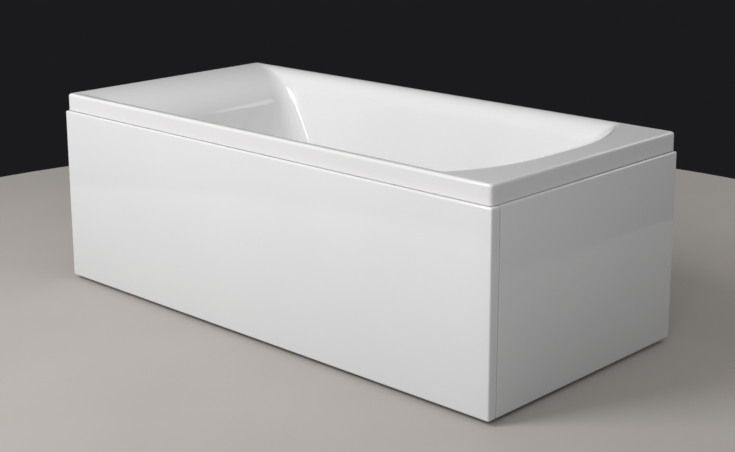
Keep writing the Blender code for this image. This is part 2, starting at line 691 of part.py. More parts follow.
front_reach = front_face - FLANGE_DEPTH - RAIL_HALF + CATCH_LAP
end_reach = end_face - FLANGE_DEPTH - RAIL_FOOT_X + RAIL_WIDTH / 2
catch("front_catch_1", "front_magnet_1", RAIL_HEAD_X, RAIL_HEAD_X, front_reach, front_side)
catch("front_catch_2", "front_magnet_2", RAIL_FOOT_X, RAIL_FOOT_X, front_reach, front_side)
catch("end_catch", "end_magnet", END_CATCH_Y, RAIL_FOOT_X, end_reach, end_side)

# Wall brackets: steel ledges screwed to the walls, which the skirt of the rim sits in
BRACKET_WIDTH = 0.050
BRACKET_WALL = 0.003
BRACKET_DROP = 0.070
BRACKET_HOOK = 0.010
BRACKET_ROOM = 0.003
BRACKET_HOLE = 0.003
BRACKET_HOLE_PITCH = 0.028
BRACKET_END_INSET = 0.400
bracket_back_x = HALF_LENGTH - BRACKET_END_INSET


def wall_bracket(name, place, turn, gap):
    """One bracket, drawn with its back on the wall at y = 0 and y pointing in under the bath, across the gap."""
    ledge = skirt_foot - SEAT
    inner = gap + SHELL_WALL + BRACKET_ROOM
    low = ledge - BRACKET_DROP
    section = [(0, low), (0, ledge), (inner, ledge), (inner, ledge + BRACKET_HOOK),
               (inner + BRACKET_WALL, ledge + BRACKET_HOOK), (inner + BRACKET_WALL, ledge - BRACKET_WALL),
               (BRACKET_WALL, ledge - BRACKET_WALL), (BRACKET_WALL, low)]
    bracket = body(name, extruded([(-BRACKET_WIDTH / 2, y, z) for y, z in section], (BRACKET_WIDTH, 0, 0)),
                   GALVANISED, place, (0, 0, turn))
    wall = Matrix.Rotation(turn, 3, 'Z')
    for step in (1, 2):
        middle = Vector(place) + wall @ Vector((0, 0, low + BRACKET_HOLE_PITCH * (step - 1 / 2)))
        hole = body(f"{name}_screw_cutter_{step}",
                    turned(rod_profile(BRACKET_HOLE, -BRACKET_WALL - OVERRUN, OVERRUN), SMALL_STEPS), GALVANISED,
                    middle, (pi / 2, 0, turn))
        combine(bracket, hole, 'DIFFERENCE')


wall_bracket("wall_bracket_back_1", (-bracket_back_x, HALF_WIDTH, 0), pi, 0)
wall_bracket("wall_bracket_back_2", (bracket_back_x, HALF_WIDTH, 0), pi, 0)
wall_bracket("wall_bracket_head", (head_wall, 0, 0), -pi / 2, HEAD_GAP)

# Waste: the flange in the recess with its seal, and the body clamped under the shell with its gasket. Heights
# are counted from the bottom of the recess.
SEAL_INNER = 0.028
SEAL_THICK = 0.0015
FLANGE_RADIUS = 0.040
FLANGE_RIM = 0.003
FLANGE_MOUTH = 0.026
FLANGE_CONE = 0.005
FLANGE_BORE = 0.021
NECK_RADIUS = 0.024
NECK_LENGTH = 0.024
SPIDER_ARM = 0.003
SPIDER_THICK = 0.004
GUIDE_RADIUS = 0.006
GUIDE_LENGTH = 0.010
PIN_RADIUS = 0.003
PIN_CLEAR = 0.0003
GASKET_RADIUS = 0.042
GASKET_THICK = 0.004
BODY_FLANGE_THICK = 0.005
BODY_RADIUS = 0.034
BODY_WALL = 0.003
BODY_DEPTH = 0.062
OUTLET_RADIUS = 0.020
OUTLET_SLOPE = 0.010
OUTLET_LENGTH = 0.018
waste_place = (WASTE_X, 0, RECESS_Z)
flange_low = 2 * SEAT + SEAL_THICK
flange_top = flange_low + FLANGE_RIM
gasket_top = -SHELL_WALL - SEAT
body_top = gasket_top - GASKET_THICK - SEAT


def spider(target, place, turn, low, inner, outer):
    """Fuse three thin arms between a guide and the ring round it."""
    for index in range(3):
        arm = body(f"{target.name}_arm_{index + 1}",
                   block((inner, -SPIDER_ARM / 2, low), (outer, SPIDER_ARM / 2, low + SPIDER_THICK)), CHROME, place,
                   (Euler(turn).to_matrix() @ Matrix.Rotation(2 * pi * index / 3, 3, 'Z')).to_euler())
        combine(target, arm, 'UNION')


body("waste_seal", turned(ring_profile(SEAL_INNER, FLANGE_RADIUS, SEAT, SEAT + SEAL_THICK)), RUBBER, waste_place)
flange_outline = [(NECK_RADIUS, -NECK_LENGTH), (NECK_RADIUS, flange_low), (FLANGE_RADIUS, flange_low),
                  (FLANGE_RADIUS, flange_top), (FLANGE_MOUTH, flange_top), (FLANGE_BORE, flange_top - FLANGE_CONE),
                  (FLANGE_BORE, -NECK_LENGTH)]
waste_flange = body("waste_flange", turned(flange_outline), CHROME, waste_place)
guide = body("waste_flange_guide", turned(ring_profile(PIN_RADIUS + PIN_CLEAR, GUIDE_RADIUS, -NECK_LENGTH,
                                                       GUIDE_LENGTH - NECK_LENGTH)), CHROME, waste_place)
combine(waste_flange, guide, 'UNION')
spider(waste_flange, waste_place, (0, 0, 0), SPIDER_ARM - NECK_LENGTH, (PIN_RADIUS + GUIDE_RADIUS) / 2,
       (FLANGE_BORE + NECK_RADIUS) / 2)
body("waste_gasket", turned(ring_profile(SEAL_INNER, GASKET_RADIUS, gasket_top - GASKET_THICK, gasket_top)), RUBBER,
     waste_place)

body_inner = BODY_RADIUS - BODY_WALL
outlet_inner = OUTLET_RADIUS - BODY_WALL
outlet_top = -BODY_DEPTH - OUTLET_SLOPE
outlet_low = outlet_top - OUTLET_LENGTH
waste_body = body("waste_body", turned([(0, outlet_low), (OUTLET_RADIUS, outlet_low), (OUTLET_RADIUS, outlet_top),
                                        (BODY_RADIUS, -BODY_DEPTH), (BODY_RADIUS, body_top - BODY_FLANGE_THICK),
                                        (GASKET_RADIUS, body_top - BODY_FLANGE_THICK), (GASKET_RADIUS, body_top),
                                        (0, body_top)]), GREY_PLASTIC, waste_place)
waste_room = [(0, outlet_low - OVERRUN), (outlet_inner, outlet_low - OVERRUN), (outlet_inner, outlet_top),
              (body_inner, -BODY_DEPTH), (body_inner, -NECK_LENGTH - BODY_WALL), (NECK_RADIUS + SEAT, -NECK_LENGTH),
              (NECK_RADIUS + SEAT, body_top + OVERRUN), (0, body_top + OVERRUN)]

# Sockets for the overflow pipe and glands for the lift cable, on the waste body and on the overflow body
PIPE_RADIUS = 0.013
PIPE_WALL = 0.002
PIPE_INSERT = 0.015
SOCKET_WALL = 0.0027
SOCKET_LENGTH = 0.022
SOCKET_DROP = 0.042
SOCKET_OVERLAP = 0.006
CABLE_RADIUS = 0.003
GLAND_RADIUS = 0.0055
GLAND_LENGTH = 0.012
GLAND_ANGLE_DEG = 55.0
socket_bore_radius = PIPE_RADIUS + SEAT
socket_radius = socket_bore_radius + SOCKET_WALL
pipe_bore = PIPE_RADIUS - PIPE_WALL


def boss(target, label, radius, place, turn, start, end):
    """Fuse a round boss to a body, along its own z."""
    added = body(f"{target.name}_{label}", turned(rod_profile(radius, start, end)), GREY_PLASTIC, place, turn)
    combine(target, added, 'UNION')


def bored(target, label, profile, place, turn):
    """Cut a turned shape out of a body."""
    cutter = body(f"{target.name}_{label}_cutter", turned(profile), GREY_PLASTIC, place, turn)
    combine(target, cutter, 'DIFFERENCE')


def socket_bore(start, end):
    """The bore of a pipe socket, with the step that the pipe's end stands on."""
    step = end - PIPE_INSERT - SEAT
    return [(0, start), (pipe_bore, start), (pipe_bore, step), (socket_bore_radius, step),
            (socket_bore_radius, end + OVERRUN), (0, end + OVERRUN)]


def gland_bore(start, end):
    """The bore of a gland for the lift cable."""
    return rod_profile(CABLE_RADIUS + SEAT, start, end + OVERRUN)


branch_place = (WASTE_X, 0, RECESS_Z - SOCKET_DROP)
branch_turn = (0, pi / 2, 0)
branch_end = BODY_RADIUS + SOCKET_LENGTH
waste_gland_turn = (0, pi / 2, radians(GLAND_ANGLE_DEG))
waste_gland_end = BODY_RADIUS + GLAND_LENGTH
socket_start = BODY_RADIUS - BODY_WALL - SOCKET_OVERLAP
boss(waste_body, "socket", socket_radius, branch_place, branch_turn, socket_start, branch_end)
boss(waste_body, "gland", GLAND_RADIUS, branch_place, waste_gland_turn, body_inner - BODY_WALL / 2, waste_gland_end)
bored(waste_body, "room", waste_room, waste_place, (0, 0, 0))
bored(waste_body, "socket_bore", socket_bore(socket_start - OVERRUN, branch_end), branch_place, branch_turn)
bored(waste_body, "gland_bore", gland_bore(body_inner - OVERRUN, waste_gland_end), branch_place, waste_gland_turn)

# Lift lever: turns on two trunnions in lugs of the waste body and pushes the plug's pin up
LEVER_REACH = 0.020
LEVER_TIP = 0.005
LEVER_HALF_WIDTH = 0.0045
LEVER_THICK = 0.004
LEVER_HUB = 0.004
TRUNNION_RADIUS = 0.002
LUG_THICK = 0.003
LUG_HALF_HEIGHT = 0.006
LUG_NOSE = 0.006
PIN_FOOT = -0.046
lever_z = PIN_FOOT - SEAT - LEVER_THICK / 2
lug_inner = LEVER_HALF_WIDTH + SEAT
mid_wall = (body_inner + BODY_RADIUS) / 2
lever_place = (WASTE_X - LEVER_REACH, 0, RECESS_Z + lever_z)
for lug_side in (-1, 1):
    lug_near = lug_side * lug_inner
    lug_far = lug_side * (lug_inner + LUG_THICK)
    lug = body(f"waste_body_lug_{lug_side + 2}",
               block((-mid_wall, min(lug_near, lug_far), lever_z - LUG_HALF_HEIGHT),
                     (LUG_NOSE - LEVER_REACH, max(lug_near, lug_far), lever_z + LUG_HALF_HEIGHT)), GREY_PLASTIC,
               waste_place)
    combine(waste_body, lug, 'UNION')
trunnion_holes = body("waste_body_trunnion_cutter",
                      turned(rod_profile(TRUNNION_RADIUS + 2 * SEAT, -lug_inner - LUG_THICK - OVERRUN,
                                         lug_inner + LUG_THICK + OVERRUN), SMALL_STEPS), GREY_PLASTIC, lever_place,
                      (pi / 2, 0, 0))
combine(waste_body, trunnion_holes, 'DIFFERENCE')
lift_lever = body("lift_lever", block((0, -LEVER_HALF_WIDTH, -LEVER_THICK / 2),
                                      (LEVER_REACH + LEVER_TIP, LEVER_HALF_WIDTH, LEVER_THICK / 2)), GREY_PLASTIC,
                  lever_place)
hub = body("lift_lever_hub", turned(rod_profile(LEVER_HUB, -LEVER_HALF_WIDTH, LEVER_HALF_WIDTH), SMALL_STEPS),
           GREY_PLASTIC, lever_place, (pi / 2, 0, 0))
trunnion = body("lift_lever_trunnion", turned(rod_profile(TRUNNION_RADIUS, -lug_inner - LUG_THICK,
                                                          lug_inner + LUG_THICK), SMALL_STEPS), GREY_PLASTIC,
                lever_place, (pi / 2, 0, 0))
combine(lift_lever, hub, 'UNION')
combine(lift_lever, trunnion, 'UNION')

# Pop-up plug: chrome cap, rubber seal on the flange's cone, and a pin that slides in the guide
CAP_RADIUS = 0.033
CAP_THICK = 0.004
CAP_CROWN = 0.001
CAP_CHAMFER = 0.002
CAP_GAP = 0.0005
STUD_RADIUS = 0.005
SEAL_TOP_GAP = 0.0003
PLUG_SEAL_THICK = 0.0038
PLUG_SEAL_STEP = 0.0008
PLUG_SEAL_GAP = 0.00035
PIN_HEAD_RADIUS = 0.009
PIN_HEAD_THICK = 0.0022
PIN_TIP_RADIUS = 0.0008
cap_low = flange_top + CAP_GAP
seal_top = cap_low - SEAL_TOP_GAP
seal_low = seal_top - PLUG_SEAL_THICK
cone_share = (FLANGE_MOUTH - FLANGE_BORE) / FLANGE_CONE


def seal_reach(height):
    """Outer radius of the plug's seal where it faces the cone at a height."""
    return FLANGE_MOUTH - (flange_top - height) * cone_share - PLUG_SEAL_GAP * sqrt(2)


cap_top = cap_low + CAP_THICK
body("plug_cap", turned([(0, seal_low), (STUD_RADIUS, seal_low), (STUD_RADIUS, cap_low), (CAP_RADIUS, cap_low),
                         (CAP_RADIUS, cap_top - CAP_CHAMFER), (CAP_RADIUS - CAP_CHAMFER, cap_top),
                         (0, cap_top + CAP_CROWN)]), CHROME, waste_place)
body("plug_seal", turned([(STUD_RADIUS + SEAT, seal_low), (seal_reach(seal_low), seal_low),
                          (seal_reach(seal_top - PLUG_SEAL_STEP), seal_top - PLUG_SEAL_STEP),
                          (seal_reach(seal_top - PLUG_SEAL_STEP), seal_top), (STUD_RADIUS + SEAT, seal_top)]),
     RUBBER, waste_place)
head_top = seal_low - SEAT
body("plug_pin", turned([(0, PIN_FOOT), (PIN_TIP_RADIUS, PIN_FOOT), (PIN_RADIUS, PIN_FOOT + PIN_RADIUS),
                         (PIN_RADIUS, head_top - PIN_HEAD_THICK), (PIN_HEAD_RADIUS, head_top - PIN_HEAD_THICK),
                         (PIN_HEAD_RADIUS, head_top), (0, head_top)]), CHROME, waste_place)

# Overflow: drawn along the axis square to the foot wall, with z pointing into the bowl and x up the wall
OVERFLOW_FLANGE = 0.038
OVERFLOW_FLANGE_THICK = 0.004
OVERFLOW_GASKET_THICK = 0.003
DRUM_RADIUS = 0.030
DRUM_MOUTH = 0.027
DRUM_BACK = 0.045
DRUM_WALL = 0.003
BEARING_RADIUS = 0.008
BEARING_LENGTH = 0.010
SPINDLE_RADIUS = 0.004
SPINDLE_CLEAR = 0.0003
SPINDLE_END = 0.038
CLAMP_RADIUS = 0.036
CLAMP_NECK = 0.0255
CLAMP_BORE = 0.022
CLAMP_NECK_LENGTH = 0.016
CLAMP_RIM = 0.0022
KNOB_RADIUS = 0.037
KNOB_WALL = 0.0025
KNOB_GAP = 0.006
KNOB_HEIGHT = 0.020
KNOB_CHAMFER = 0.007
GRIP_HALF_LENGTH = 0.028
GRIP_HALF_WIDTH = 0.005
GRIP_HEIGHT = 0.009
GLAND_SIDE = 0.027
GLAND_RISE = 0.006
over_gasket_top = -SHELL_WALL - SEAT
drum_top = over_gasket_top - OVERFLOW_GASKET_THICK - SEAT
body("overflow_gasket", turned(ring_profile(SEAL_INNER, OVERFLOW_FLANGE, over_gasket_top - OVERFLOW_GASKET_THICK,
                                            over_gasket_top)), RUBBER, overflow_point, overflow_turn)
drum_floor = DRUM_WALL - DRUM_BACK
bearing_top = drum_floor + BEARING_LENGTH
spindle_bore = SPINDLE_RADIUS + SPINDLE_CLEAR
overflow_body = body("overflow_body", turned([(0, -DRUM_BACK), (DRUM_RADIUS, -DRUM_BACK),
                                              (DRUM_RADIUS, drum_top - OVERFLOW_FLANGE_THICK),
                                              (OVERFLOW_FLANGE, drum_top - OVERFLOW_FLANGE_THICK),
                                              (OVERFLOW_FLANGE, drum_top), (0, drum_top)]), GREY_PLASTIC,
                     overflow_point, overflow_turn)
drum_room = [(0, drum_floor), (spindle_bore, drum_floor), (spindle_bore, bearing_top), (BEARING_RADIUS, bearing_top),
             (BEARING_RADIUS, drum_floor), (DRUM_MOUTH, drum_floor), (DRUM_MOUTH, drum_top + OVERRUN),
             (0, drum_top + OVERRUN)]
drum_middle = overflow_point + overflow_turn.to_matrix() @ Vector((0, 0, (drum_top - OVERFLOW_FLANGE_THICK
                                                                         - DRUM_BACK) / 2))
drum_gland = drum_middle + Vector((0, GLAND_SIDE, 0))
down = (pi, 0, 0)
drum_socket_start = DRUM_RADIUS - DRUM_WALL - SOCKET_OVERLAP
drum_socket_end = DRUM_RADIUS + SOCKET_LENGTH
boss(overflow_body, "socket", socket_radius, drum_middle, down, drum_socket_start, drum_socket_end)
boss(overflow_body, "gland", GLAND_RADIUS, drum_gland, down, -GLAND_RISE, drum_socket_end)
bored(overflow_body, "room", drum_room, overflow_point, overflow_turn)
bored(overflow_body, "socket_bore", socket_bore(drum_socket_start - OVERRUN, drum_socket_end), drum_middle, down)
bored(overflow_body, "gland_bore", gland_bore(GLAND_RISE, drum_socket_end), drum_gland, down)

clamp_low = SEAT
overflow_clamp = body("overflow_clamp", turned([(CLAMP_BORE, -CLAMP_NECK_LENGTH), (CLAMP_NECK, -CLAMP_NECK_LENGTH),
                                                (CLAMP_NECK, clamp_low), (CLAMP_RADIUS, clamp_low),
                                                (CLAMP_RADIUS, clamp_low + CLAMP_RIM),
                                                (CLAMP_BORE, clamp_low + CLAMP_RIM)]), CHROME, overflow_point,
                      overflow_turn)
clamp_guide = body("overflow_clamp_guide",
                   turned(ring_profile(spindle_bore, BEARING_RADIUS, -CLAMP_NECK_LENGTH,
                                       clamp_low)), CHROME, overflow_point, overflow_turn)
combine(overflow_clamp, clamp_guide, 'UNION')
spider(overflow_clamp, overflow_point, overflow_turn, -SPIDER_THICK, (SPINDLE_RADIUS + BEARING_RADIUS) / 2,
       (CLAMP_BORE + CLAMP_NECK) / 2)

knob_outline = [(0, -SPINDLE_END), (SPINDLE_RADIUS, -SPINDLE_END), (SPINDLE_RADIUS, KNOB_HEIGHT - KNOB_WALL),
                (KNOB_RADIUS - KNOB_CHAMFER, KNOB_HEIGHT - KNOB_WALL),
                (KNOB_RADIUS - KNOB_WALL, KNOB_HEIGHT - KNOB_CHAMFER), (KNOB_RADIUS - KNOB_WALL, KNOB_GAP),
                (KNOB_RADIUS, KNOB_GAP), (KNOB_RADIUS, KNOB_HEIGHT - KNOB_CHAMFER),
                (KNOB_RADIUS - KNOB_CHAMFER, KNOB_HEIGHT), (0, KNOB_HEIGHT)]
overflow_knob = body("overflow_knob", turned(knob_outline), CHROME, overflow_point, overflow_turn)
grip = body("overflow_knob_grip", block((-GRIP_HALF_LENGTH, -GRIP_HALF_WIDTH, KNOB_HEIGHT - KNOB_WALL / 2),
                                        (GRIP_HALF_LENGTH, GRIP_HALF_WIDTH, KNOB_HEIGHT + GRIP_HEIGHT)), CHROME,
            overflow_point, overflow_turn)
combine(overflow_knob, grip, 'UNION')

# Overflow pipe between the two sockets, with a clamping nut at each
PIPE_BEND = 0.060
BEND_STEPS = 4
PIPE_NUT_RADIUS = 0.020
PIPE_NUT_SLEEVE = 0.014
PIPE_NUT_LIP = 0.004
pipe_top = drum_middle - Vector((0, 0, drum_socket_end - PIPE_INSERT))
pipe_end = Vector(branch_place) + Vector((branch_end - PIPE_INSERT, 0, 0))
pipe_corner = Vector((pipe_top.x, 0, pipe_end.z))
body("overflow_pipe", pipe(bent_route([pipe_top, pipe_corner, pipe_end], PIPE_BEND, BEND_STEPS), (0, 1, 0),
                           PIPE_RADIUS, pipe_bore, ROUND_STEPS), GREY_PLASTIC)
nut_outline = [(socket_radius + SEAT, -PIPE_NUT_SLEEVE), (PIPE_NUT_RADIUS, -PIPE_NUT_SLEEVE),
               (PIPE_NUT_RADIUS, PIPE_NUT_LIP), (PIPE_RADIUS + SEAT, PIPE_NUT_LIP), (PIPE_RADIUS + SEAT, SEAT),
               (socket_radius + SEAT, SEAT)]
body("pipe_nut_top", turned(nut_outline), GREY_PLASTIC, drum_middle - Vector((0, 0, drum_socket_end)), (pi, 0, 0))
body("pipe_nut_bottom", turned(nut_outline), GREY_PLASTIC, pipe_end + Vector((PIPE_INSERT, 0, 0)), branch_turn)

# Lift cable: a sheathed cable held at both ends, on a smooth curve through points chosen by hand
CABLE_INSERT = 0.010
CABLE_STEPS = 5
cable_top = drum_gland + Vector((0, 0, CABLE_INSERT - drum_socket_end))
gland_way = Vector((cos(radians(GLAND_ANGLE_DEG)), sin(radians(GLAND_ANGLE_DEG)), 0))
cable_foot = Vector(branch_place) + gland_way * (waste_gland_end - CABLE_INSERT)
CABLE_POINTS = ((0.636, 0.030, 0.330), (0.634, 0.042, 0.240), (0.618, 0.060, 0.165), (0.570, 0.078, 0.132),
                (0.510, 0.086, 0.126))


def smooth_route(points, steps):
    """Points along a smooth curve that passes through every given point."""
    points = [Vector(point) for point in points]
    points = [2 * points[0] - points[1]] + points + [2 * points[-1] - points[-2]]
    route = []
    for before, start, end, after in zip(points, points[1:], points[2:], points[3:]):
        for step in range(steps):
            t = step / steps
            route.append((2 * start + t * (end - before) + t * t * (2 * before - 5 * start + 4 * end - after)
                          + t ** 3 * (3 * start - before - 3 * end + after)) / 2)
    return route + [points[-2]]


cable_route = smooth_route([cable_top, cable_top - Vector((0, 0, CABLE_INSERT + GLAND_LENGTH)), *CABLE_POINTS,
                            cable_foot + gland_way * (CABLE_INSERT + 2 * GLAND_LENGTH),
                            cable_foot + gland_way * (CABLE_INSERT + GLAND_LENGTH / 4), cable_foot], CABLE_STEPS)
cable_curve = bpy.data.curves.new("lift_cable", 'CURVE')
cable_curve.dimensions = '3D'
cable_curve.bevel_depth = CABLE_RADIUS
cable_curve.bevel_resolution = 1
cable_curve.use_fill_caps = True
cable_line = cable_curve.splines.new('POLY')
cable_line.points.add(len(cable_route) - 1)
for cable_point, place in zip(cable_line.points, cable_route):
    cable_point.co = (*place, 1)
lift_cable = bpy.data.objects.new("lift_cable", cable_curve)
bpy.context.scene.collection.objects.link(lift_cable)
cable_curve.materials.append(RUBBER)
lift_cable.parent = datum

# Trap: a tubular trap under the waste body with a collar at its outlet, and the nut that joins them
TRAP_NUT_FLAT = 0.026
TRAP_NUT_ABOVE = 0.012
TRAP_NUT_BELOW = 0.014
TRAP_BEND = 0.034
TRAP_PITCH = 0.070
TRAP_FLOOR_GAP = 0.011
TRAP_RISE = 0.081
TRAP_OUTLET_Y = 0.200
TRAP_COLLAR_RADIUS = 0.025
TRAP_COLLAR_LENGTH = 0.025
outlet_z = RECESS_Z + outlet_low
trap_top = outlet_z - SEAT
trap_dip = TRAP_FLOOR_GAP + OUTLET_RADIUS
trap_weir = trap_dip + TRAP_RISE
nut_inner = OUTLET_RADIUS + SEAT
body("trap_nut", looped([nut_ring(TRAP_NUT_FLAT, True, outlet_z - TRAP_NUT_BELOW),
                         nut_ring(TRAP_NUT_FLAT, True, outlet_z + TRAP_NUT_ABOVE),
                         nut_ring(nut_inner, False, outlet_z + TRAP_NUT_ABOVE),
                         nut_ring(nut_inner, False, outlet_z - TRAP_NUT_BELOW)], True), GREY_PLASTIC,
     (WASTE_X, 0, 0))
trap_route = bent_route([(0, 0, trap_top), (0, 0, trap_dip), (0, TRAP_PITCH, trap_dip), (0, TRAP_PITCH, trap_weir),
                         (0, TRAP_OUTLET_Y, trap_weir)], TRAP_BEND, BEND_STEPS)
trap_body = body("trap_body", pipe(trap_route, (1, 0, 0), OUTLET_RADIUS, outlet_inner, ROUND_STEPS), GREY_PLASTIC,
                 (WASTE_X, 0, 0))
collar = body("trap_body_collar", turned(ring_profile((outlet_inner + OUTLET_RADIUS) / 2, TRAP_COLLAR_RADIUS, 0,
                                                      TRAP_COLLAR_LENGTH)), GREY_PLASTIC,
              (WASTE_X, TRAP_OUTLET_Y, trap_weir), (pi / 2, 0, 0))
combine(trap_body, collar, 'UNION')
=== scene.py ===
import bmesh
import bpy
import json
from math import atan2, cos, pi, radians, sin, sqrt
from mathutils import Matrix, Vector


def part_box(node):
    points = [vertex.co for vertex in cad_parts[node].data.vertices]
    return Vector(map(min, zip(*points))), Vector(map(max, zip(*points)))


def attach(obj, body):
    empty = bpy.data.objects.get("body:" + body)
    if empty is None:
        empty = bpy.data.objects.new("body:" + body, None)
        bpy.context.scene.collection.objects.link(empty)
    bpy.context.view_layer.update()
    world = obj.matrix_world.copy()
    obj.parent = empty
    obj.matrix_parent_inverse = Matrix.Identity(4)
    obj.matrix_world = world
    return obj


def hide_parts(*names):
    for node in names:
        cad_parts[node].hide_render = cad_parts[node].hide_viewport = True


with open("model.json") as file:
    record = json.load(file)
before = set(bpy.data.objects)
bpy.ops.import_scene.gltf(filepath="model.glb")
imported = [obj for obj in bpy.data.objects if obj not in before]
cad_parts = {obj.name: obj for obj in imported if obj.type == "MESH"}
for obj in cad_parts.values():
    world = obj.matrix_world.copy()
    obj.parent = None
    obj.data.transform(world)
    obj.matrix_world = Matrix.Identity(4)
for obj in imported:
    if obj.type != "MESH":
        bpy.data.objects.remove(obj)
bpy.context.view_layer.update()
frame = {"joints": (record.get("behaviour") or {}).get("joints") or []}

# Camera: stands off the front corner at the foot end, at shoulder height, and looks down into the bowl. Its place
# and lens come from the straight edges of the rim and of the two panels.
CAMERA_PLACE = (2.8745, -2.9439, 1.4403)
CAMERA_HEADING_DEG = 43.616
CAMERA_DIP_DEG = 13.127
CAMERA_ROLL_DEG = -0.219
CAMERA_SHIFT = -0.1
FOCUS_PX = 1431.5
PHOTO_WIDTH_PX = 735
SENSOR_MM = 36.0

bpy.ops.object.camera_add(location=CAMERA_PLACE)
camera = bpy.context.object
camera.rotation_euler = (Matrix.Rotation(radians(CAMERA_HEADING_DEG), 3, 'Z')
                         @ Matrix.Rotation(radians(90 - CAMERA_DIP_DEG), 3, 'X')
                         @ Matrix.Rotation(radians(CAMERA_ROLL_DEG), 3, 'Z')).to_euler()
camera.data.sensor_width = SENSOR_MM
camera.data.lens = FOCUS_PX / PHOTO_WIDTH_PX * SENSOR_MM
camera.data.shift_y = CAMERA_SHIFT
bpy.context.scene.camera = camera
bpy.context.scene.view_settings.view_transform = 'Standard'


# Studio: a round pale floor in a dark surround that only the eye, gloss and glass see. A tall soft box stands at
# the front, a bit towards the head end, weaker ones fill in low down, at the foot end and behind, and an even sky
# lifts the shadows.
FLOOR_RADIUS = 2.2
FLOOR_SIDES = 128
FLOOR_COLOUR = "#BDB8B3"
FLOOR_WORN_COLOUR = "#B4AEA9"
FLOOR_BOUNCE_COLOUR = "#7C7976"
FLOOR_CLOUD_MM = 420
SURROUND_COLOUR = "#1B1B1D"
SKY_LEVEL = 0.30
LAMP_DISTANCE = 4.5
LAMP_AIM = (0.0, 0.0, 0.4)


def linear(code):
    """An sRGB hex colour as the linear values that Blender's sockets take."""
    channels = [int(code[start:start + 2], 16) / 255 for start in (1, 3, 5)]
    return tuple(c / 12.92 if c <= 0.04045 else ((c + 0.055) / 1.055) ** 2.4 for c in channels) + (1.0,)


def add_node(tree, kind, values=(), links=(), **settings):
    """Add a node with its settings, the values of its sockets and the outputs that are linked into them."""
    made = tree.nodes.new(kind)
    for name, setting in settings.items():
        setattr(made, name, setting)
    for socket, value in dict(values).items():
        made.inputs[socket].default_value = value
    for socket, output in dict(links).items():
        tree.links.new(output, made.inputs[socket])
    return made


def new_finish(name):
    """A new material with its tree and its Principled shader."""
    made = bpy.data.materials.new(name)
    made.use_nodes = True
    return made, made.node_tree, made.node_tree.nodes["Principled BSDF"]


def seen_directly(tree):
    """An output that is 1 where the eye, gloss or glass meets the surface, and 0 for soft light."""
    path = add_node(tree, 'ShaderNodeLightPath')
    eye_or_gloss = add_node(tree, 'ShaderNodeMath', links={0: path.outputs["Is Camera Ray"],
                                                           1: path.outputs["Is Glossy Ray"]}, operation='MAXIMUM')
    return add_node(tree, 'ShaderNodeMath', links={0: eye_or_gloss.outputs[0],
                                                   1: path.outputs["Is Transmission Ray"]},
                    operation='MAXIMUM').outputs[0]


bpy.ops.mesh.primitive_circle_add(vertices=FLOOR_SIDES, radius=FLOOR_RADIUS, fill_type='NGON')
floor = bpy.context.object
floor.name = "studio_floor"
floor_paint, tree, shader = new_finish("matt_floor_paint")
# Matt mineral paint, a little cloudy where it was rolled on
place = add_node(tree, 'ShaderNodeTexCoord').outputs["Object"]
cloud = add_node(tree, 'ShaderNodeTexNoise', {"Scale": 1000 / FLOOR_CLOUD_MM, "Detail": 6.0}, {"Vector": place})
cloudy = add_node(tree, 'ShaderNodeMix', {6: linear(FLOOR_COLOUR), 7: linear(FLOOR_WORN_COLOUR)},
                  {0: cloud.outputs["Fac"]}, data_type='RGBA')
floor_mix = add_node(tree, 'ShaderNodeMix', {6: linear(FLOOR_BOUNCE_COLOUR)},
                     {0: seen_directly(tree), 7: cloudy.outputs[2]}, data_type='RGBA')
tree.links.new(floor_mix.outputs[2], shader.inputs["Base Color"])
shader.inputs["Roughness"].default_value = 0.9
shader.inputs["Specular IOR Level"].default_value = 0.1
floor.data.materials.append(floor_paint)

sky = bpy.data.worlds.new("studio_sky")
bpy.context.scene.world = sky
sky.use_nodes = True
tree = sky.node_tree
sky_light = tree.nodes["Background"]
sky_light.inputs["Color"].default_value = (1.0, 1.0, 1.0, 1.0)
sky_light.inputs["Strength"].default_value = SKY_LEVEL
surround = add_node(tree, 'ShaderNodeBackground', {"Color": linear(SURROUND_COLOUR), "Strength": 1.0})
sky_mix = add_node(tree, 'ShaderNodeMixShader', links={0: seen_directly(tree), 1: sky_light.outputs[0],
                                                       2: surround.outputs[0]})
tree.links.new(sky_mix.outputs[0], tree.nodes["World Output"].inputs["Surface"])


def soft_box(name, azimuth_deg, elevation_deg, size, power):
    """A rectangular lamp that faces the bath, with its size in metres and its power in watts.

    Its azimuth counts from the front of the bath to the foot end.
    """
    across = LAMP_DISTANCE * cos(radians(elevation_deg))
    place = Vector(LAMP_AIM) + Vector((across * sin(radians(azimuth_deg)), -across * cos(radians(azimuth_deg)),
                                       LAMP_DISTANCE * sin(radians(elevation_deg))))
    bpy.ops.object.light_add(type='AREA', location=place)
    made = bpy.context.object
    made.name = name
    made.data.shape = 'RECTANGLE'
    made.data.size, made.data.size_y = size
    made.data.energy = power
    made.rotation_euler = (Vector(LAMP_AIM) - place).to_track_quat('-Z', 'Y').to_euler()
    made.visible_camera = False
    return made


soft_box("key_box", -20, 38, (1.8, 2.4), 128)
soft_box("low_box", -20, 8, (1.8, 1.4), 14)
soft_box("side_box", 40, 25, (1.8, 1.4), 31)
soft_box("back_box", 160, 30, (1.8, 1.4), 18)


